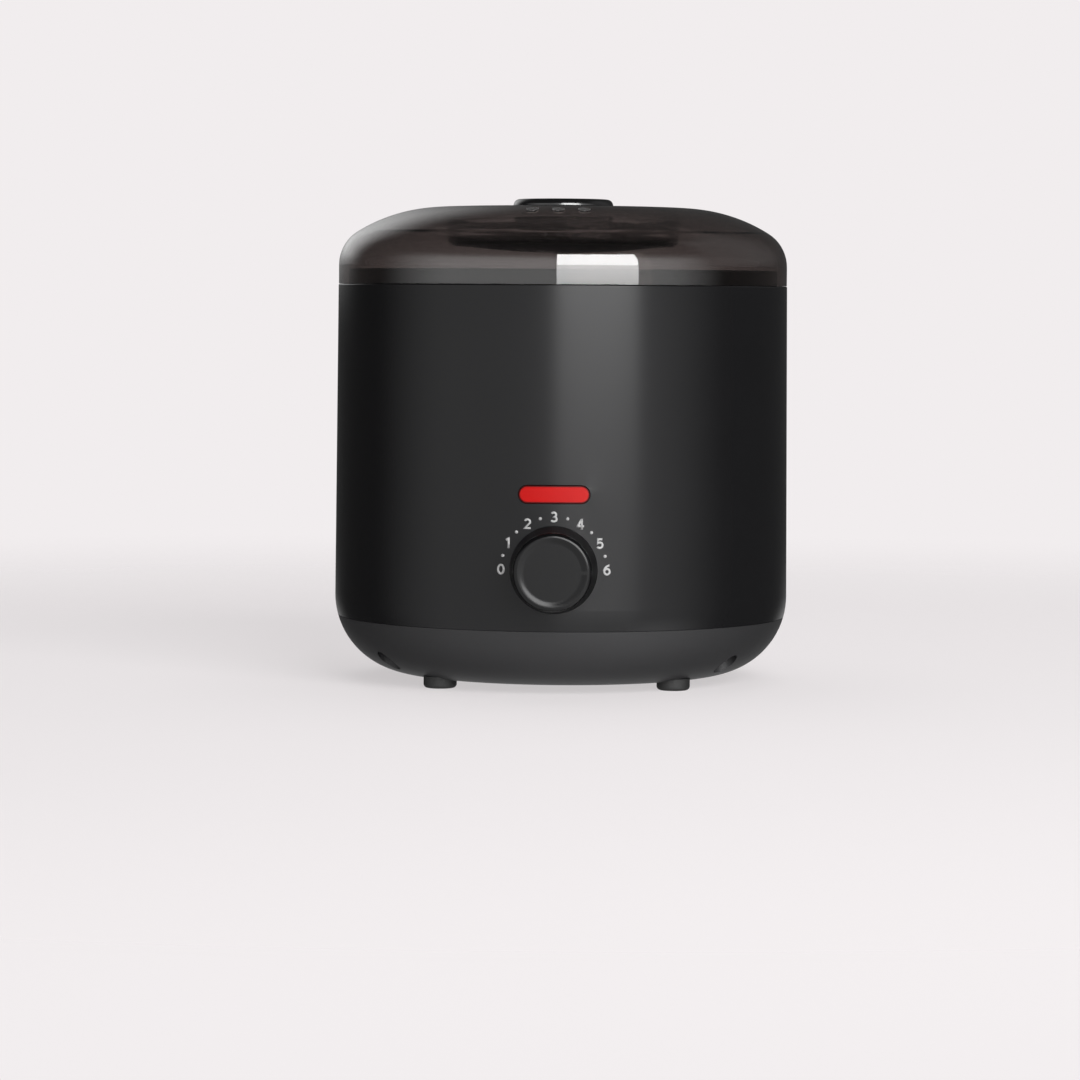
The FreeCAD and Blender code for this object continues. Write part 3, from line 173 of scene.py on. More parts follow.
def knob_plastic(name, colour, roughness, flank, crest, shine):
    """Thermoplastic of a knob that looks to the front.

    Face and crest come from a polished mould. The flank behind the crest is blasted, so it stays
    black and doesn't mirror the print on the wall.
    """
    material, tree, place = new_material(name)
    flow = add_node(tree, "TexNoise", {"Vector": place, "Scale": 1 / KNOB_FLOW_MARK})
    tone = add_node(tree, "Mix", {
        MIX_SHARE: flow, MIX_FIRST: shade(colour, 0.88), MIX_SECOND: shade(colour, 1.12)},
        data_type="RGBA")
    depth = add_node(tree, "SeparateXYZ", {"Vector": place}).outputs["Y"]
    gloss = add_node(tree, "MapRange", {
        "Value": depth, "From Min": crest, "From Max": crest + CREST_FADE,
        "To Min": roughness, "To Max": flank})
    surface = add_node(tree, "BsdfPrincipled", {
        "Base Color": tone.outputs[MIX_COLOUR],
        "Roughness": gloss,
        "IOR": PLASTIC_IOR,
        "Specular IOR Level": shine,
    })
    add_node(tree, "OutputMaterial", {"Surface": surface})
    return material


def smoked_polycarbonate(name, tint, density, vents, vent_radius):
    """Polycarbonate with smoke dye, from a polished mould.

    It mirrors like glass, darkens with its thickness, and lets lamps reach what lies under it. Its
    vents are drilled, so their walls are dull.
    """
    material, tree, place = new_material(name)
    smear = add_node(tree, "TexNoise", {"Vector": place, "Scale": 1 / LID_SMEAR})
    gloss = add_node(tree, "MapRange", {"Value": smear, "To Min": 0.01, "To Max": 0.03})
    parts = add_node(tree, "SeparateXYZ", {"Vector": place}).outputs
    flat = add_node(tree, "CombineXYZ", {"X": parts["X"], "Y": parts["Y"]})
    for spot in vents:
        reach = add_node(tree, "VectorMath", {0: flat, 1: spot}, operation="DISTANCE")
        drill = add_node(tree, "MapRange", {
            "Value": reach.outputs["Value"], "From Min": vent_radius, "From Max": vent_radius * 1.1,
            "To Min": 1.0, "To Max": 0.0})
        gloss = add_node(tree, "Math", {0: gloss, 1: drill}, operation="MAXIMUM")
    surface = add_node(tree, "BsdfPrincipled", {
        "Base Color": (1.0, 1.0, 1.0, 1.0),
        "Roughness": gloss,
        "IOR": POLYCARBONATE_IOR,
        "Transmission Weight": 1.0,
    })
    passing = add_node(tree, "BsdfTransparent", {"Color": shade(linear(LID_SHADOW))})
    lamp_ray = add_node(tree, "LightPath").outputs["Is Shadow Ray"]
    both = add_node(tree, "MixShader", {0: lamp_ray, 1: surface, 2: passing})
    dye = add_node(tree, "VolumeAbsorption", {"Color": shade(tint), "Density": density})
    add_node(tree, "OutputMaterial", {"Surface": both, "Volume": dye})
    return material


def lens_polycarbonate(name, colour, height, half_long, half_tall):
    """Translucent dyed polycarbonate of a pill-shaped lens.

    Light spreads inside it, so it looks deep, and its face mirrors the lamps softly. Near its
    outline its colour is painted darker: painted shade for the gap where it meets its slot.
    """
    material, tree, place = new_material(name)
    cloud = add_node(tree, "TexNoise", {"Vector": place, "Scale": 1 / LENS_CLOUD})
    tone = add_node(tree, "Mix", {
        MIX_SHARE: cloud, MIX_FIRST: shade(colour, 0.95), MIX_SECOND: shade(colour, 1.05)},
        data_type="RGBA")
    parts = add_node(tree, "SeparateXYZ", {"Vector": place}).outputs
    side = add_node(tree, "Math", {0: parts["X"]}, operation="ABSOLUTE")
    past = add_node(tree, "Math", {0: side, 1: half_long - half_tall}, operation="SUBTRACT")
    past = add_node(tree, "Math", {0: past, 1: 0.0}, operation="MAXIMUM")
    rise = add_node(tree, "Math", {0: parts["Z"], 1: height}, operation="SUBTRACT")
    spine = add_node(tree, "CombineXYZ", {"X": past, "Y": rise})
    reach = add_node(tree, "VectorMath", {0: spine}, operation="LENGTH").outputs["Value"]
    # Painted shade: the colour darkens towards the outline, where the gap round the lens would
    # shade it
    start, end = LENS_PAINTED_SHADE
    painted_outline_shade = add_node(tree, "MapRange", {
        "Value": reach, "From Min": half_tall - start, "From Max": half_tall - end},
        interpolation_type="SMOOTHSTEP")
    tone = add_node(tree, "Mix", {
        MIX_SHARE: painted_outline_shade, MIX_FIRST: tone.outputs[MIX_COLOUR], MIX_SECOND: shade(colour, 0.12)},
        data_type="RGBA")
    surface = add_node(tree, "BsdfPrincipled", {
        "Base Color": tone.outputs[MIX_COLOUR],
        "Roughness": 0.4,
        "IOR": POLYCARBONATE_IOR,
        "Specular IOR Level": 0.05,
        "Subsurface Weight": 0.15,
        "Subsurface Radius": (1.0, 0.1, 0.08),
        "Subsurface Scale": LENS_SPREAD,
    })
    add_node(tree, "OutputMaterial", {"Surface": surface})
    return material


def spun_aluminium(name, colour, roughness):
    """Aluminium spun on a lathe.

    The tool leaves fine rings about the axis, so relief and gloss follow radius and height alone.
    Real rings are about 0.2 mm apart and are drawn at 0.7 mm, so that they show.
    """
    material, tree, place = new_material(name)
    parts = add_node(tree, "SeparateXYZ", {"Vector": place}).outputs
    flat = add_node(tree, "CombineXYZ", {"X": parts["X"], "Y": parts["Y"]})
    radius = add_node(tree, "VectorMath", {0: flat}, operation="LENGTH").outputs["Value"]
    ring = add_node(tree, "CombineXYZ", {"X": radius, "Y": parts["Z"]})
    tool = add_node(tree, "TexNoise", {
        "Vector": ring, "Scale": 1 / LATHE_RING, "Detail": 4.0, "Roughness": 0.7})
    stain = add_node(tree, "TexNoise", {"Vector": place, "Scale": 1 / POT_STAIN})
    tone = add_node(tree, "Mix", {
        MIX_SHARE: stain, MIX_FIRST: shade(colour, 0.9), MIX_SECOND: shade(colour)},
        data_type="RGBA")
    gloss = add_node(tree, "MapRange", {
        "Value": tool, "To Min": roughness * 0.75, "To Max": roughness * 1.25})
    surface = add_node(tree, "BsdfPrincipled", {
        "Base Color": tone.outputs[MIX_COLOUR],
        "Metallic": 1.0,
        "Roughness": gloss,
        "Normal": add_node(tree, "Bump", {"Height": tool, "Distance": LATHE_DEPTH}),
    })
    add_node(tree, "OutputMaterial", {"Surface": surface})
    return material


def plated_metal(name, colour, roughness):
    """Rolled or turned metal, bright or under a thin bright plating.

    It mirrors softly, and its tone drifts a little, as plating baths and handling leave it.
    """
    material, tree, place = new_material(name)
    bath = add_node(tree, "TexNoise", {
        "Vector": place, "Scale": 1 / PLATING_DRIFT, "Detail": 3.0})
    pit = add_node(tree, "TexNoise", {"Vector": place, "Scale": 1 / PLATING_PIT})
    tone = add_node(tree, "Mix", {
        MIX_SHARE: bath, MIX_FIRST: shade(colour, 0.86), MIX_SECOND: shade(colour)},
        data_type="RGBA")
    gloss = add_node(tree, "MapRange", {
        "Value": bath, "To Min": roughness * 0.8, "To Max": roughness * 1.2})
    surface = add_node(tree, "BsdfPrincipled", {
        "Base Color": tone.outputs[MIX_COLOUR],
        "Metallic": 1.0,
        "Roughness": gloss,
        "Normal": add_node(tree, "Bump", {"Height": pit, "Distance": PLATING_DEPTH}),
    })
    add_node(tree, "OutputMaterial", {"Surface": surface})
    return material


def dull_solid(name, colour, roughness, grain, depth, drift):
    """Dull material grained all through, such as rubber, fired steatite or felt.

    Its grit scatters the light, so it shows next to no mirror image.
    """
    material, tree, place = new_material(name)
    grit = add_node(tree, "TexNoise", {
        "Vector": place, "Scale": 1 / grain, "Detail": 5.0, "Roughness": 0.65})
    tone = add_node(tree, "Mix", {
        MIX_SHARE: grit, MIX_FIRST: shade(colour, 1 - drift), MIX_SECOND: shade(colour, 1 + drift)},
        data_type="RGBA")
    gloss = add_node(tree, "MapRange", {
        "Value": grit, "To Min": roughness * 0.95, "To Max": min(1.0, roughness * 1.05)})
    surface = add_node(tree, "BsdfPrincipled", {
        "Base Color": tone.outputs[MIX_COLOUR],
        "Roughness": gloss,
        "Normal": add_node(tree, "Bump", {"Height": grit, "Distance": depth}),
        "Specular IOR Level": 0.3,
    })
    add_node(tree, "OutputMaterial", {"Surface": surface})
    return material


def lamp_glass(name, tint):
    """Drawn soda glass of a small lamp.

    It is clear and slightly wavy, with the warm tint of its coated inside.
    """
    material, tree, place = new_material(name)
    draw = add_node(tree, "TexNoise", {"Vector": place, "Scale": 1 / GLASS_WAVE})
    gloss = add_node(tree, "MapRange", {"Value": draw, "To Min": 0.01, "To Max": 0.06})
    surface = add_node(tree, "BsdfPrincipled", {
        "Base Color": shade(tint),
        "Roughness": gloss,
        "IOR": GLASS_IOR,
        "Transmission Weight": 1.0,
    })
    add_node(tree, "OutputMaterial", {"Surface": surface})
    return material


def pad_ink(name, colour):
    """Pad-printed ink: thin, opaque and dull, with the slight mottle of the pad."""
    material, tree, place = new_material(name)
    mottle = add_node(tree, "TexNoise", {"Vector": place, "Scale": 1 / PAD_MOTTLE})
    tone = add_node(tree, "Mix", {
        MIX_SHARE: mottle, MIX_FIRST: shade(colour, 0.93), MIX_SECOND: shade(colour)},
        data_type="RGBA")
    gloss = add_node(tree, "MapRange", {"Value": mottle, "To Min": 0.42, "To Max": 0.55})
    surface = add_node(tree, "BsdfPrincipled", {
        "Base Color": tone.outputs[MIX_COLOUR],
        "Roughness": gloss,
        "IOR": INK_IOR,
    })
    add_node(tree, "OutputMaterial", {"Surface": surface})
    return material


# Meshes: points are one array, and faces are blocks, each an array with one row for each face

def add_piece(name, points, blocks, material, body=None, slot=None):
    """Smooth mesh object at the origin.

    It rides on a body, unless it is of the stage. Its slot argument is not used.
    """
    faces = [face for block in blocks for face in block.tolist()]
    mesh = bpy.data.meshes.new(name)
    mesh.from_pydata(points.tolist(), [], faces)
    mesh.polygons.foreach_set("use_smooth", np.ones(len(faces), bool))
    mesh.materials.append(material)
    mesh.update()
    piece = bpy.data.objects.new(name, mesh)
    bpy.context.scene.collection.objects.link(piece)
    if body is None:
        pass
    else:
        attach(piece, body)
    return piece


def grid_faces(rows, columns, closed_rows=False, closed_columns=True):
    """Four-sided faces between neighbours of a grid that is stored row by row."""
    row = np.arange(rows if closed_rows else rows - 1)
    column = np.arange(columns if closed_columns else columns - 1)
    row, column = (part.ravel() for part in np.meshgrid(row, column, indexing="ij"))
    beside = (column + 1) % columns
    first = row * columns
    second = (row + 1) % rows * columns
    corners = [first + column, first + beside, second + beside, second + column]
    return [np.stack(corners, axis=1)]


def fan(ring, middle, upward):
    """Three-sided faces that close a ring of points to its middle."""
    following = np.roll(ring, -1)
    first, second = (ring, following) if upward else (following, ring)
    return [np.stack([first, second, np.full(len(ring), middle)], axis=1)]


def joined(parts):
    """One set of points and faces from several, with faces counted on from the points before."""
    starts = np.cumsum([0] + [len(points) for points, _ in parts])
    blocks = [block + start for start, (_, faces) in zip(starts, parts) for block in faces]
    return np.concatenate([points for points, _ in parts]), blocks


def dress(material, *nodes):
    """Give CAD nodes a material in place of the one they were packed with."""
    for name in nodes:
        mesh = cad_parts[name].data
        mesh.materials.clear()
        mesh.materials.append(material)


# Printed scale

def heading(angle):
    """Unit step in an upright plane at an angle in degrees from +X towards +Z."""
    return np.array([math.cos(math.radians(angle)), math.sin(math.radians(angle))])


def arc(centre, wide, tall, first, last, count=24):
    """Stretch of an ellipse: p(t) = centre + (wide * cos t, tall * sin t), with ends in degrees."""
    turn = np.radians(np.linspace(first, last, count))
    return np.stack([centre[0] + wide * np.cos(turn), centre[1] + tall * np.sin(turn)], axis=1)


def figure_strokes():
    """Middle lines of the figures 0 to 6 in a box one high about the origin, as (path, closed)."""
    nought = arc((0, 0), 0.27, 0.41, 0, 360)[:-1]
    one = np.array([(-0.2, 0.26), (0.05, 0.4), (0.05, -0.5)])
    two = np.concatenate([
        arc((0, 0.18), 0.24, 0.23, 160, -35), [(-0.25, -0.41), (0.3, -0.41)]])
    three = np.concatenate([
        arc((-0.02, 0.2), 0.22, 0.21, 150, -80), arc((-0.02, -0.21), 0.27, 0.21, 80, -150)])
    four = np.array([(0.1, 0.44), (-0.28, -0.2), (0.33, -0.2)])
    stem = np.array([(0.12, 0.5), (0.12, -0.5)])
    five = np.concatenate([
        [(0.23, 0.41), (-0.17, 0.41), (-0.2, 0.04)], arc((-0.02, -0.15), 0.27, 0.26, 125, -145)])
    six = arc((0.01, -0.16), 0.25, 0.26, 0, 360)[:-1]
    back = arc((0.26, -0.14), 0.52, 0.55, 180, 92)
    return [
        [(nought, True)],
        [(one, False)],
        [(two, False)],
        [(three, False)],
        [(four, False), (stem, False)],
        [(five, False)],
        [(six, True), (back, False)],
    ]


def ribbon(path, closed, width):
    """Edges of a flat stroke: the path moved half a width to each side along its own normals."""
    if closed:
        ahead = np.roll(path, -1, axis=0) - path
        behind = path - np.roll(path, 1, axis=0)
    else:
        ahead = np.diff(path, axis=0, append=2 * path[-1:] - path[-2:-1])
        behind = np.diff(path, axis=0, prepend=2 * path[:1] - path[1:2])
    ahead = ahead / np.linalg.norm(ahead, axis=1, keepdims=True)
    behind = behind / np.linalg.norm(behind, axis=1, keepdims=True)
    along = ahead + behind
    along = along / np.linalg.norm(along, axis=1, keepdims=True)
    mitre = np.clip((along * ahead).sum(1, keepdims=True), 0.5, 1.0)
    step = np.stack([-along[:, 1], along[:, 0]], axis=1) * width / 2 / mitre
    return path + step, path - step


def on_wall(flat, lift, scale):
    """Carry points (x, z) straight back on to the drafted wall.

    y = -sqrt((r(z) + lift)^2 - x^2), where r(z) draws in evenly from the wall's foot to its rim.
    """
    share = (flat[:, 1] - scale.wall_low) / (scale.wall_high - scale.wall_low)
    radius = scale.wall_radius - scale.wall_draft * share + lift
    return np.stack([flat[:, 0], -np.sqrt(radius ** 2 - flat[:, 0] ** 2), flat[:, 1]], axis=1)


def printed_stroke(path, closed, lift, scale):
    """Closed strip of ink on the wall: a flat section with four corners carried along a path."""
    left, right = ribbon(path, closed, scale.stroke)
    corners = [on_wall(left, lift, scale), on_wall(right, lift, scale),
               on_wall(right, -lift, scale), on_wall(left, -lift, scale)]
    points = np.stack(corners, axis=1).reshape(-1, 3)
    faces = grid_faces(len(path), len(corners), closed_rows=closed)
    if not closed:
        start = np.arange(len(corners))
        end = start + len(points) - len(corners)
        faces.append(np.stack([start[::-1], end]))
    return points, faces


def printed_dot(centre, scale, count=32):
    """Closed round of ink on the wall: p(a) = centre + radius * (cos a, sin a), front and back."""
    turn = np.linspace(0, FULL_TURN, count, endpoint=False)
    ring = centre + scale.dot * np.stack([np.cos(turn), np.sin(turn)], axis=1)
    flat = np.concatenate([ring, centre[None, :]])
    points = np.concatenate([on_wall(flat, scale.ink, scale), on_wall(flat, -scale.ink, scale)])
    front = np.arange(count)
    back = front + count + 1
    side = np.stack([np.roll(front, -1), front, back, np.roll(back, -1)], axis=1)
    return points, fan(front, count, True) + fan(back, 2 * count + 1, False) + [side]


# Screws

def screw_thread(radius, depth, pitch, low, high, tip=0.35, turns=48, rows_each=8):
    """Screw thread: r(a, z) = radius - depth * |2 * frac(z / pitch - a / 2 pi) - 1|.

    Over its last two pitches it is drawn down to a blunt tip, a share of its width.
    """
    rows = max(2, round((high - low) / pitch * rows_each))
    z, a = np.meshgrid(
        np.linspace(low, high, rows), np.linspace(0, FULL_TURN, turns, endpoint=False),
        indexing="ij")
    ridge = np.abs(2 * np.mod(z / pitch - a / FULL_TURN, 1.0) - 1)
    point = tip + (1 - tip) * np.clip((high - z) / (2 * pitch), 0.0, 1.0)
    r = (radius - depth * ridge) * point
    wall = np.stack([r * np.cos(a), r * np.sin(a), z], axis=2).reshape(-1, 3)
    points = np.concatenate([wall, [[0, 0, low], [0, 0, high]]])
    ring = np.arange(turns)
    ends = fan(ring, len(wall), False) + fan(ring + (rows - 1) * turns, len(wall) + 1, True)
    return points, grid_faces(rows, turns) + ends


def screw_head(radius, neck, tall, dome, recess, slotted=False, turns=96, rings=40):
    """Screw head that looks along -Z, from its face at z = -tall to its neck at z = 0.

    z(x, y) = -tall + dome * (r / R)^2 + recess * drive(x, y), where the drive is 1 inside a cross
    or a slot and falls to 0 over a short ramp. A straight side up to the neck closes it.
    """
    share, a = np.meshgrid(
        np.linspace(0, 1, rings)[1:], np.linspace(0, FULL_TURN, turns, endpoint=False),
        indexing="ij")
    x = radius * share * np.cos(a)
    y = radius * share * np.sin(a)
    half, ramp = 0.13 * radius, 0.07 * radius
    reach = 0.95 * radius if slotted else 0.58 * radius
    arms = [np.minimum(half - np.abs(side), reach - np.abs(along)) / ramp
            for along, side in ((x, y), (y, x))]
    drive = np.clip((arms[0] if slotted else np.maximum(*arms)) + 0.5, 0.0, 1.0)
    face = np.stack([x, y, -tall + dome * share ** 2 + recess * drive], axis=2).reshape(-1, 3)
    top = np.stack([neck * np.cos(a[0]), neck * np.sin(a[0]), np.zeros(turns)], axis=1)
    points = np.concatenate([face, top, [[0, 0, -tall + recess], [0, 0, 0]]])
    ring = np.arange(turns)
    middle = len(points) - 2
    ends = fan(ring, middle, False) + fan(ring + (rings - 1) * turns, middle + 1, True)
    return points, grid_faces(rings, turns) + ends


def upturned(part):
    """Points turned half a turn about the X axis, with their faces."""
    return part[0] * np.array([1, -1, -1]), part[1]


def moved(part, *where):
    """Points carried to a place, with their faces."""
    return part[0] + np.array(where, float), part[1]


def corner_spots(node, inset):
    """Places of four like screws, from the corners of their node's box and their heads' radius."""
    low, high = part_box(node)
    return [(x, y) for x in (low.x + inset, high.x - inset)
            for y in (low.y + inset, high.y - inset)]


def replace_screws(node, parts, material, body, slot):
    """One piece of several screws in place of a CAD node."""
    points, faces = joined(parts)
    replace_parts(add_piece(node + "_threaded", points, faces, material, body, slot), node)


# Studio, in metres and degrees: azimuths count from the front to the right, and elevations from a
# point on the body's axis at this height

MIDDLE = 100 * MM

# Black dome: its radius, the faint glow painted on its cloth in place of the light it would give
# back, and the angles over which it closes to the right, to the left and upwards
DOME_RADIUS = 0.6
CLOTH_GLOW = 0.06
DOME_RIGHT = (46, 89)
DOME_LEFT = (-50, -100)
DOME_TOP = (42, 55)

# Cards: name, radius, azimuths, elevations, widths of the soft edges at the left, right, foot and
# top, and strength. Where cards overlap, the nearer one covers the farther one.
MIRROR_CARDS = (
    # The bright patch on the lid's skirt and the light band on the wall
    ("front_card", 1.6, (-1.5, 39.5), (0, 29.5), (0.5, 0.5, 4, 0.5), 17.0),
    ("low_card", 1.65, (-1.5, 39.5), (-60, 8), (0.5, 0.5, 64, 0.5), 3.0),
    # The soft light at the right of the base
    ("floor_card", 1.6, (30, 110), (-80, -14), (25, 30, 20, 20), 3.6),
    # The even sheen of the front, and black above and behind it
    ("front_sheet", 1.7, (-110, 110), (-70, 30.5), (1, 1, 1, 20), 1.75),
    ("dark_sheet", 1.75, (-110, 110), (-70, 70), (1, 1, 1, 1), 0.1),
    # The pale edges of lid and wall
    ("left_card", 0.5, (-178, -114), (2, 50), (30, 24, 14, 26), 1.25),
    ("right_card", 0.5, (70, 150), (5, 60), (15, 45, 8, 14), 0.28),
    # The pale edges of the base
    ("back_card_left", 0.55, (-180, -134), (-75, -8), (0.1, 34, 1, 12), 0.9),
    ("back_card_right", 0.55, (134, 180), (-75, -8), (34, 0.1, 1, 12), 0.9),
)

# Lamps: name, azimuth, distance, height over the floor, width, tallness and power in watts
AREA_LAMPS = (
    ("front_softbox", 26.0, 1.62, 0.7, 1.26, 1.4, 40.0),
    ("top_light", 180.0, 0.4, 1.3, 1.2, 1.2, 6.0),
)

# Floor: radii of its middle and its rim, the radii between which it fades out, and the shares of
# its colour that it scatters and that it gives off by itself, so that it is pale in plain light
FLOOR_RADII = (0.01, 1.3)
FLOOR_FADE = (0.3, 0.9)
FLOOR_SCATTER = 0.4
FLOOR_GLOW = 0.62

# Strength of the background as a light and for the eye
WORLD_LIGHT = 0.2
WORLD_VIEW = 1.0

SENSOR_WIDTH = 36.0


def sky_patch(radius, azimuths, elevations, columns, rows, closed=False):
    """Patch of a sphere about the middle of the body, from azimuths and elevations.

    p(a, e) = middle + radius * (cos e sin a, -cos e cos a, sin e).
    """
    turns = np.linspace(*np.radians(azimuths), columns, endpoint=not closed)
    e, a = np.meshgrid(np.linspace(*np.radians(elevations), rows), turns, indexing="ij")
    points = np.stack([np.cos(e) * np.sin(a), -np.cos(e) * np.cos(a), np.sin(e)], axis=2) * radius
    points[..., 2] += MIDDLE
    return points.reshape(-1, 3), grid_faces(rows, columns, closed_columns=closed)


def sky_angles(tree, place):
    """Azimuth of a stage point from the front and its elevation from the middle, in radians."""
    parts = add_node(tree, "SeparateXYZ", {"Vector": place}).outputs
    front = add_node(tree, "Math", {0: parts["Y"], 1: -1.0}, operation="MULTIPLY")
    azimuth = add_node(tree, "Math", {0: parts["X"], 1: front}, operation="ARCTAN2")
    flat = add_node(tree, "CombineXYZ", {"X": parts["X"], "Y": parts["Y"]})
    reach = add_node(tree, "VectorMath", {0: flat}, operation="LENGTH").outputs["Value"]
    rise = add_node(tree, "Math", {0: parts["Z"], 1: MIDDLE}, operation="SUBTRACT")
    return azimuth, add_node(tree, "Math", {0: rise, 1: reach}, operation="ARCTAN2")


def soft_edges(tree, edges, operation):
    """Share that joins soft steps, each from 0 at its first angle to 1 at its second."""
    share = None
    for angle, start, end in edges:
        step = add_node(tree, "MapRange", {
            "Value": angle, "From Min": math.radians(start), "From Max": math.radians(end)},
            interpolation_type="SMOOTHSTEP")
        share = add_node(tree, "Math", {0: share, 1: step}, operation=operation) if share else step
    return share


def mirrored_only(piece):
    """Let only mirrors see a stage piece."""
    for ray in ("camera", "diffuse", "transmission", "volume_scatter", "shadow"):
        setattr(piece, "visible_" + ray, False)


def dark_screen():
    """Black cloth dome that only mirrors see, open to the front up to a height."""
    material, tree, place = new_material("black_cloth")
    azimuth, elevation = sky_angles(tree, place)
    edges = [(azimuth, *DOME_RIGHT), (azimuth, *DOME_LEFT), (elevation, *DOME_TOP)]
    cover = soft_edges(tree, edges, "MAXIMUM")
    # Painted light: the cloth glows faintly, in place of the little light it would give back
    cloth = add_node(tree, "Emission", {"Strength": CLOTH_GLOW})
    clear = add_node(tree, "BsdfTransparent")
    both = add_node(tree, "MixShader", {0: cover, 1: clear, 2: cloth})
    add_node(tree, "OutputMaterial", {"Surface": both})
    dome = sky_patch(DOME_RADIUS, (0, 360), (-80, 89.5), columns=120, rows=60, closed=True)
    mirrored_only(add_piece("dark_screen", *dome, material))


def mirror_card(name, radius, azimuths, elevations, soft, strength):
    """Glowing card with soft edges that only mirrors see."""
    material, tree, place = new_material(name + "_paper")
    azimuth, elevation = sky_angles(tree, place)
    first, last = azimuths
    foot, top = elevations
    edges = [(azimuth, first, first + soft[0]), (azimuth, last, last - soft[1]),
             (elevation, foot, foot + soft[2]), (elevation, top, top - soft[3])]
    share = soft_edges(tree, edges, "MULTIPLY")
    glow = add_node(tree, "Emission", {"Strength": strength})
    clear = add_node(tree, "BsdfTransparent")
    both = add_node(tree, "MixShader", {0: share, 1: clear, 2: glow})
    add_node(tree, "OutputMaterial", {"Surface": both})
    sheet = sky_patch(radius, azimuths, elevations, columns=24, rows=24)
    mirrored_only(add_piece(name, *sheet, material))


def area_lamp(name, azimuth, distance, height, wide, tall, power):
    """Rectangular lamp that mirrors don't see.

    It looks level, or at the body's middle if it hangs higher than it is far off.
    """
    light = bpy.data.lights.new(name, "AREA")
    light.shape = "RECTANGLE"
    light.size = wide
    light.size_y = tall
    light.energy = power
    lamp = bpy.data.objects.new(name, light)
    turn = math.radians(azimuth)
    place = Vector((math.sin(turn) * distance, -math.cos(turn) * distance, height))
    target = Vector((0, 0, height if distance > height else MIDDLE))
    look = (target - place).to_track_quat("-Z", "Y").to_matrix().to_4x4()
    lamp.matrix_world = Matrix.Translation(place) @ look
    lamp.visible_camera = False
    lamp.visible_glossy = False
    bpy.context.scene.collection.objects.link(lamp)


def paper_floor(colour):
    """Round floor that keeps the shadow and fades into the background, so that no horizon shows.

    p(r, a) = (r cos a, r sin a, 0), with one face in the middle.
    """
    material, tree, place = new_material("floor_paper")
    reach = add_node(tree, "VectorMath", {0: place}, operation="LENGTH").outputs["Value"]
    start, end = FLOOR_FADE
    fade = add_node(tree, "MapRange", {"Value": reach, "From Min": start, "From Max": end},
                    interpolation_type="SMOOTHSTEP")
    paper = add_node(tree, "BsdfPrincipled", {
        "Base Color": shade(colour, FLOOR_SCATTER),
        "Roughness": 1.0,
        "Specular IOR Level": 0.0,
        "Emission Color": shade(colour),
        "Emission Strength": FLOOR_GLOW,
    })
    clear = add_node(tree, "BsdfTransparent")
    both = add_node(tree, "MixShader", {0: fade, 1: paper, 2: clear})
    add_node(tree, "OutputMaterial", {"Surface": both})
    turns, rings = 96, 12
    r, a = np.meshgrid(
        np.linspace(*FLOOR_RADII, rings), np.linspace(FULL_TURN, 0, turns, endpoint=False),
        indexing="ij")
    points = np.stack([r * np.cos(a), r * np.sin(a), np.zeros_like(r)], axis=2).reshape(-1, 3)
    middle = np.arange(turns)[None, ::-1]
    floor = add_piece("studio_floor", points, grid_faces(rings, turns) + [middle], material)
    floor.visible_glossy = False


def pale_background(scene, colour):
    """World that is pale for the eye, mirrors and glass, and dimmer as a light."""
    scene.world = bpy.data.worlds.new("studio")
    scene.world.use_nodes = True
    tree = scene.world.node_tree
    tree.nodes.clear()
    ray = add_node(tree, "LightPath").outputs
    seen = add_node(tree, "Math", {0: ray["Is Camera Ray"], 1: ray["Is Glossy Ray"]},
                    operation="ADD")
    seen = add_node(tree, "Math", {0: seen, 1: ray["Is Transmission Ray"]},
                    operation="ADD", use_clamp=True)
    light = add_node(tree, "Background", {"Color": shade(colour), "Strength": WORLD_LIGHT})
    view = add_node(tree, "Background", {"Color": shade(colour), "Strength": WORLD_VIEW})
    both = add_node(tree, "MixShader", {0: seen, 1: light, 2: view})
    add_node(tree, "OutputWorld", {"Surface": both})


def photo_camera(scene, studio):
    """Camera that stands off the dial and looks at the body's axis, turned by small angles."""
    data = bpy.data.cameras.new("camera")
    data.sensor_width = SENSOR_WIDTH
    data.lens = studio.lens
    camera = bpy.data.objects.new("camera", data)
    scene.collection.objects.link(camera)
    place = Matrix.Translation((0, -studio.distance, studio.height))
    stand = Matrix.Rotation(studio.azimuth, 4, "Z") @ place
    level = Matrix.Rotation(math.pi / 2 - studio.pitch, 4, "X")
    aim = Matrix.Rotation(-studio.yaw, 4, "Z") @ level
    camera.matrix_world = stand @ aim @ Matrix.Rotation(studio.roll, 4, "Z")
    scene.camera = camera


# Properties

class HeaterColours(bpy.types.PropertyGroup):
    """Colours of the finishes."""
    shell: FloatVectorProperty(
        name="Shell", description="Satin side wall", subtype="COLOR", default=linear("#141415"))
    base: FloatVectorProperty(
        name="Base", description="Matte base pan", subtype="COLOR", default=linear("#272728"))
    collar: FloatVectorProperty(
        name="Collar", description="Ring under the lid", subtype="COLOR",
        default=linear("#101011"))
    knob: FloatVectorProperty(
        name="Knobs", description="Black knobs of dial and lid", subtype="COLOR",
        default=linear("#0A0A0B"))
    smoke: FloatVectorProperty(
        name="Smoke", description="Dye of the lid", subtype="COLOR", default=linear("#5A321A"))
    lens: FloatVectorProperty(
        name="Lens", description="Indicator lens", subtype="COLOR", default=linear("#AE0D0B"))
    ink: FloatVectorProperty(
        name="Ink", description="Figures and dots of the dial", subtype="COLOR",
        default=linear("#A4A4A4"))
    floor: FloatVectorProperty(
        name="Floor", description="Floor and background", subtype="COLOR",
        default=linear("#F1EDEE"))


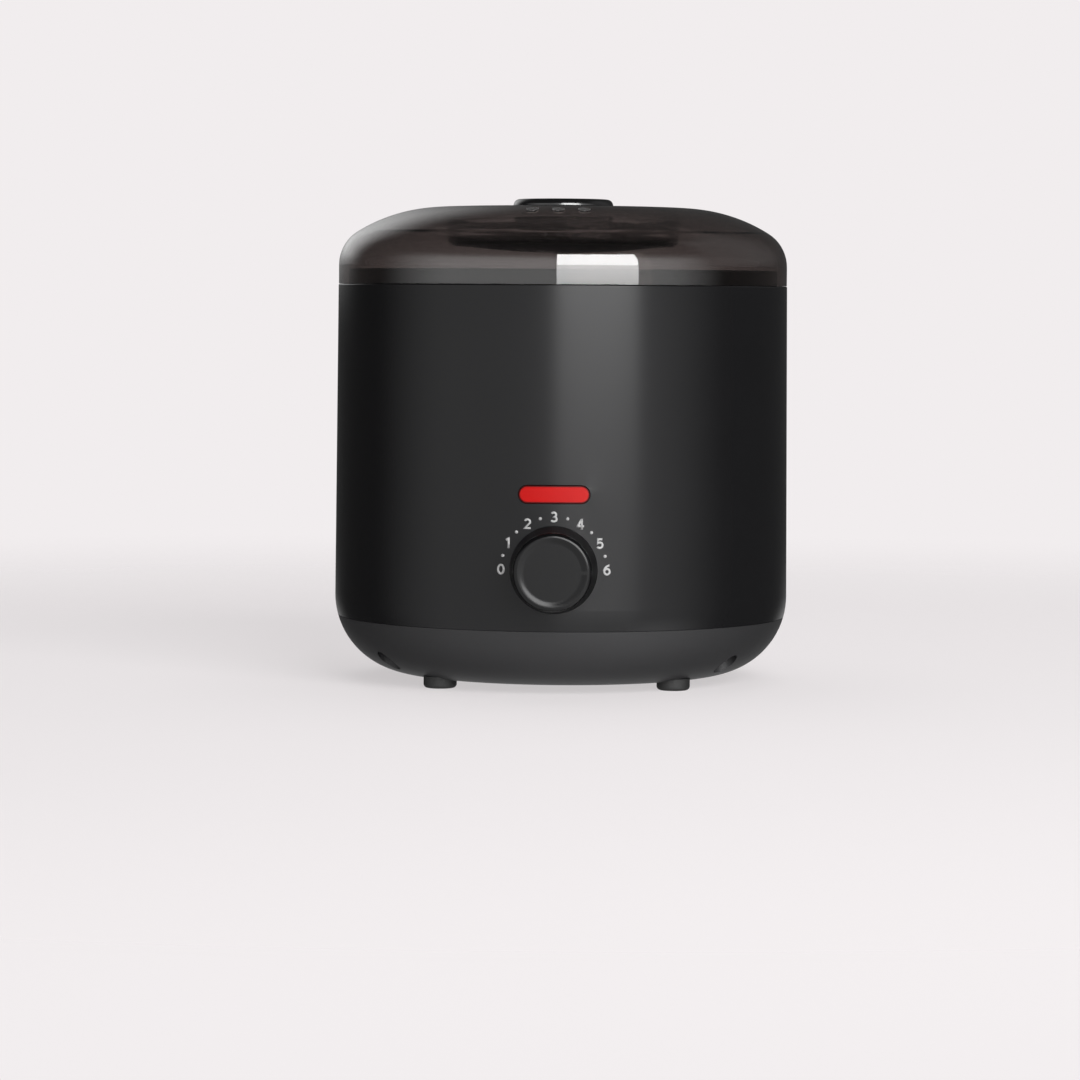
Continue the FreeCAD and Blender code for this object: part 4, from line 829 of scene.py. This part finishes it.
class HeaterScale(bpy.types.PropertyGroup):
    """Sizes of the printed scale round the dial, and of the wall that it stands on."""
    ring: FloatProperty(
        name="Ring", description="Radius on which figures and dots stand", unit="LENGTH",
        default=17.8 * MM)
    figure: FloatProperty(
        name="Figure height", description="Height of a figure", unit="LENGTH", default=3.6 * MM)
    stroke: FloatProperty(
        name="Stroke", description="Width of a figure's stroke", unit="LENGTH", default=0.7 * MM)
    dot: FloatProperty(
        name="Dot", description="Radius of a dot", unit="LENGTH", default=0.54 * MM)
    ink: FloatProperty(
        name="Ink", description="How far the ink stands proud of the wall", unit="LENGTH",
        default=0.03 * MM)
    wall_radius: FloatProperty(
        name="Wall radius", description="Radius of the wall at its foot", unit="LENGTH",
        default=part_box("outer_shell")[1].x)
    wall_draft: FloatProperty(
        name="Draft", description="How far the wall draws in up to its rim", unit="LENGTH",
        default=0.8 * MM)
    wall_low: FloatProperty(
        name="Wall foot", description="Height where the straight wall starts", unit="LENGTH",
        default=30.0 * MM)
    wall_high: FloatProperty(
        name="Wall rim", description="Height where the straight wall ends", unit="LENGTH",
        default=138.9 * MM)


class HeaterStudio(bpy.types.PropertyGroup):
    """Camera of the studio."""
    azimuth: FloatProperty(
        name="Azimuth", description="Camera, to the right of the dial", subtype="ANGLE",
        default=math.radians(1.75))
    distance: FloatProperty(
        name="Distance", description="Camera to the body's axis", unit="LENGTH", default=1.43)
    height: FloatProperty(
        name="Height", description="Camera over the floor", unit="LENGTH", default=0.135)
    pitch: FloatProperty(
        name="Pitch", description="Camera's look down", subtype="ANGLE",
        default=math.radians(3.44))
    yaw: FloatProperty(
        name="Yaw", description="Camera's look to the right of the axis", subtype="ANGLE",
        default=math.radians(-0.30))
    roll: FloatProperty(
        name="Roll", description="Camera's turn about its own axis", subtype="ANGLE",
        default=math.radians(0.38))
    lens: FloatProperty(
        name="Focal length", description="In millimetres on a 36 mm sensor", unit="CAMERA",
        default=134.5)


class HeaterSettings(bpy.types.PropertyGroup):
    """All that a user would change."""
    colours: PointerProperty(type=HeaterColours)
    scale: PointerProperty(type=HeaterScale)
    studio: PointerProperty(type=HeaterStudio)


# Operators

class HEATER_OT_housing(bpy.types.Operator):
    """Finish the shell, base, collar, feet and cord gland"""
    bl_idname = "heater.housing"
    bl_label = "Finish the housing"

    def execute(self, context):
        colours = context.scene.heater.colours
        # Fine mould texture: soft but clear mirror images of the studio
        satin = moulded_plastic("satin_moulded_abs", colours.shell, roughness=0.22,
                                grain=0.5 * MM, depth=0.003 * MM, shine=0.135)
        # Coarse spark texture: an even grey with hardly an image in it
        matte = moulded_plastic("spark_textured_abs", colours.base, roughness=0.55,
                                grain=0.45 * MM, depth=0.02 * MM, shine=0.18)
        # Glass fibres at the surface: dull black
        filled = moulded_plastic("glass_filled_nylon", colours.collar, roughness=0.5,
                                 grain=0.6 * MM, depth=0.01 * MM, shine=0.3)
        # Carbon-black rubber: deep and dull
        rubber = dull_solid("moulded_rubber", linear("#191919"), roughness=0.7,
                            grain=0.5 * MM, depth=0.02 * MM, drift=0.2)
        dress(satin, "outer_shell")
        dress(matte, "base_pan")
        dress(filled, "rim_collar")
        dress(rubber, "cord_gland", *[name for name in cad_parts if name.startswith("foot_")])
        return {"FINISHED"}


class HEATER_OT_dial_scale(bpy.types.Operator):
    """Print the figures and dots round the dial"""
    bl_idname = "heater.dial_scale"
    bl_label = "Print the dial scale"

    def execute(self, context):
        settings = context.scene.heater
        scale = settings.scale
        low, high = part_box("temperature_knob")
        centre = np.array([(low.x + high.x) / 2, (low.z + high.z) / 2])
        ink = pad_ink("pad_printed_ink", settings.colours.ink)
        figures = figure_strokes()
        step = 180 / (len(figures) - 1)
        lines = []
        for index, strokes in enumerate(figures):
            middle = centre + scale.ring * heading(180 - step * index)
            for layer, (path, closed) in enumerate(strokes):
                # Strokes that cross lie a little over each other, so that no faces coincide
                lift = scale.ink * (1 + 0.2 * layer)
                lines.append(printed_stroke(middle + path * scale.figure, closed, lift, scale))
        turns = [180 - step * (index + 0.5) for index in range(len(figures) - 1)]
        dots = [printed_dot(centre + scale.ring * heading(turn), scale) for turn in turns]
        add_piece("dial_figures", *joined(lines), ink, "housing", "shell_plastic")
        add_piece("dial_dots", *joined(dots), ink, "housing", "shell_plastic")
        return {"FINISHED"}


class HEATER_OT_knobs(bpy.types.Operator):
    """Finish the dial knob and the lid's grip"""
    bl_idname = "heater.knobs"
    bl_label = "Finish the knobs"

    def execute(self, context):
        colour = context.scene.heater.colours.knob
        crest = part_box("temperature_knob")[0].y + CREST_DEPTH
        dial = knob_plastic("half_polished_abs", colour, roughness=0.18, flank=0.6,
                            crest=crest, shine=0.14)
        # Polished mould: black with crisp highlights
        grip = moulded_plastic("gloss_moulded_abs", colour, roughness=0.2,
                               grain=0.8 * MM, depth=0.001 * MM, shine=0.7)
        dress(dial, "temperature_knob")
        dress(grip, "lid_knob")
        return {"FINISHED"}


class HEATER_OT_indicator(bpy.types.Operator):
    """Finish the indicator lens, its lamp and the lamp's holder"""
    bl_idname = "heater.indicator"
    bl_label = "Finish the indicator"

    def execute(self, context):
        colours = context.scene.heater.colours
        # Undyed nylon: milky, with a soft sheen
        nylon = moulded_plastic("natural_nylon", linear("#DCD8CC"), roughness=0.45,
                                grain=0.6 * MM, depth=0.006 * MM, shine=0.5)
        low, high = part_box("indicator_lens")
        lens = lens_polycarbonate("red_polycarbonate", colours.lens, (low.z + high.z) / 2,
                                  LENS_HALF_LONG, LENS_HALF_TALL)
        dress(lens, "indicator_lens")
        dress(lamp_glass("drawn_lamp_glass", linear("#FFE6D8")), "indicator_lamp")
        dress(nylon, "lamp_holder")
        return {"FINISHED"}


class HEATER_OT_lid(bpy.types.Operator):
    """Finish the smoked lid"""
    bl_idname = "heater.lid"
    bl_label = "Finish the lid"

    def execute(self, context):
        tint = context.scene.heater.colours.smoke
        turns = [math.radians(turn) for turn in VENT_TURNS]
        vents = [(VENT_CIRCLE * math.sin(turn), -VENT_CIRCLE * math.cos(turn), 0.0)
                 for turn in turns]
        smoke = smoked_polycarbonate("smoked_polycarbonate", tint, SMOKE_DENSITY,
                                     vents, VENT_RADIUS)
        dress(smoke, "lid_dome")
        return {"FINISHED"}


class HEATER_OT_inside(bpy.types.Operator):
    """Finish the pot, bucket, heater, thermostat, sensors, terminals and leads"""
    bl_idname = "heater.inside"
    bl_label = "Finish the inside"

    def execute(self, context):
        spun = spun_aluminium("spun_aluminium", linear("#BCBDC0"), roughness=0.34)
        sheet = plated_metal("bright_sheet_steel", linear("#A9ABAE"), roughness=0.36)
        zinc = plated_metal("zinc_plated_steel", linear("#B9BCC0"), roughness=0.3)
        brass = plated_metal("turned_brass", linear("#C8A565"), roughness=0.28)
        # Fired ceramic: off-white, smooth but dry
        steatite = dull_solid("fired_steatite", linear("#E4DFD0"), roughness=0.55,
                              grain=0.7 * MM, depth=0.01 * MM, drift=0.06)
        # Matted fibres: no gloss and an uneven pile
        felt = dull_solid("needled_felt", linear("#C9C1B0"), roughness=0.95,
                          grain=0.8 * MM, depth=0.15 * MM, drift=0.15)
        # Soft tan cover of the leads with a faint sheen
        silicone = dull_solid("extruded_silicone_rubber", linear("#B39A7C"), roughness=0.6,
                              grain=0.6 * MM, depth=0.008 * MM, drift=0.08)
        dress(spun, "inner_pot", "heating_bucket")
        dress(sheet, "heating_band", "band_clamp", "clamp_bolt", "sensor_clip", "fuse_clip",
              "thermal_fuse")
        dress(zinc, "thermostat_bracket", "thermostat_nut", "thermostat_shaft")
        dress(brass, "capillary_sensor", "thermostat_terminals")
        dress(steatite, "thermostat_body", "terminal_block")
        dress(felt, "insulation_wrap")
        dress(silicone, "supply_lead", "heater_leads", "lamp_leads")
        return {"FINISHED"}


class HEATER_OT_screws(bpy.types.Operator):
    """Make the screws with their drives and threads"""
    bl_idname = "heater.screws"
    bl_label = "Make the screws"

    def execute(self, context):
        steel = plated_metal("zinc_plated_screw_steel", linear("#C2C4C8"), roughness=0.26)
        brass = plated_metal("turned_screw_brass", linear("#CDAA66"), roughness=0.26)
        self.base_screws(steel)
        self.collar_screws(steel)
        self.grip_screw(steel)
        self.terminal_screws(brass)
        return {"FINISHED"}

    def base_screws(self, steel):
        """Pan heads that look down in their wells, with threads up into the shell's bosses."""
        low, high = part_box("base_screws")
        radius, tall = 3.3 * MM, 2.4 * MM
        seat = low.z + tall
        head = screw_head(radius, radius, tall, dome=0.9 * MM, recess=1.5 * MM)
        shank = screw_thread(radius=1.45 * MM, depth=0.3 * MM, pitch=1.2 * MM,
                             low=0.0, high=high.z - seat)
        spots = corner_spots("base_screws", radius)
        parts = [moved(part, x, y, seat) for x, y in spots for part in (head, shank)]
        replace_screws("base_screws", parts, steel, "housing", "sheet_steel")

    def collar_screws(self, steel):
        """Low heads that look up under the flange of the pot."""
        low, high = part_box("collar_screws")
        radius, tall = 2.6 * MM, 1.1 * MM
        seat = high.z - tall
        head = upturned(screw_head(radius, radius, tall, dome=0.4 * MM, recess=0.8 * MM))
        shank = upturned(screw_thread(radius=1.4 * MM, depth=0.28 * MM, pitch=1.1 * MM,
                                      low=0.0, high=seat - low.z))
        spots = corner_spots("collar_screws", radius)
        parts = [moved(part, x, y, seat) for x, y in spots for part in (head, shank)]
        replace_screws("collar_screws", parts, steel, "housing", "sheet_steel")

    def terminal_screws(self, brass):
        """Slotted heads on the terminal block."""
        low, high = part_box("terminal_screws")
        radius, tall = 2.4 * MM, 1.6 * MM
        seat = high.z - tall
        middle = (low.y + high.y) / 2
        head = upturned(screw_head(radius, radius, tall, dome=0.3 * MM, recess=0.7 * MM,
                                   slotted=True))
        shank = upturned(screw_thread(radius=1.6 * MM, depth=0.25 * MM, pitch=0.7 * MM,
                                      low=0.0, high=seat - low.z))
        spots = np.linspace(low.x + radius, high.x - radius, num=3)
        parts = [moved(part, x, middle, seat) for x in spots for part in (head, shank)]
        replace_screws("terminal_screws", parts, brass, "housing", "brass")

    def grip_screw(self, steel):
        """Countersunk head flush with the lid's underside, with its thread up into the grip."""
        low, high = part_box("lid_knob_screw")
        neck, tall = 1.9 * MM, 1.8 * MM
        seat = low.z + tall
        head = screw_head((high.x - low.x) / 2, neck, tall, dome=0.1 * MM, recess=1.1 * MM)
        shank = screw_thread(radius=neck, depth=0.3 * MM, pitch=1.4 * MM,
                             low=0.0, high=high.z - seat)
        parts = [moved(part, 0, 0, seat) for part in (head, shank)]
        replace_screws("lid_knob_screw", parts, steel, "lid", "sheet_steel")


class HEATER_OT_studio(bpy.types.Operator):
    """Set the floor, background, cards, lamps and camera"""
    bl_idname = "heater.studio"
    bl_label = "Set the studio"

    def execute(self, context):
        settings = context.scene.heater
        context.scene.view_settings.view_transform = "Standard"
        pale_background(context.scene, settings.colours.floor)
        paper_floor(settings.colours.floor)
        dark_screen()
        for card in MIRROR_CARDS:
            mirror_card(*card)
        for lamp in AREA_LAMPS:
            area_lamp(*lamp)
        photo_camera(context.scene, settings.studio)
        return {"FINISHED"}


OPERATORS = (HEATER_OT_housing, HEATER_OT_dial_scale, HEATER_OT_knobs, HEATER_OT_indicator,
             HEATER_OT_lid, HEATER_OT_inside, HEATER_OT_screws, HEATER_OT_studio)


class HEATER_PT_panel(bpy.types.Panel):
    """Settings and operators of the wax heater"""
    bl_idname = "HEATER_PT_panel"
    bl_label = "Wax heater"
    bl_space_type = "VIEW_3D"
    bl_region_type = "UI"
    bl_category = "Wax heater"

    def draw(self, context):
        settings = context.scene.heater
        for group in (settings.colours, settings.scale, settings.studio):
            box = self.layout.box()
            for name in type(group).__annotations__:
                box.prop(group, name)
        for operator in OPERATORS:
            self.layout.operator(operator.bl_idname)


CLASSES = (HeaterColours, HeaterScale, HeaterStudio, HeaterSettings, *OPERATORS, HEATER_PT_panel)


def register():
    for item in CLASSES:
        bpy.utils.register_class(item)
    bpy.types.Scene.heater = PointerProperty(type=HeaterSettings)


def unregister():
    del bpy.types.Scene.heater
    for item in reversed(CLASSES):
        bpy.utils.unregister_class(item)


def main():
    register()
    bpy.ops.heater.housing()
    bpy.ops.heater.dial_scale()
    bpy.ops.heater.knobs()
    bpy.ops.heater.indicator()
    bpy.ops.heater.lid()
    bpy.ops.heater.inside()
    bpy.ops.heater.screws()
    bpy.ops.heater.studio()


if __name__ == "__main__":
    main()
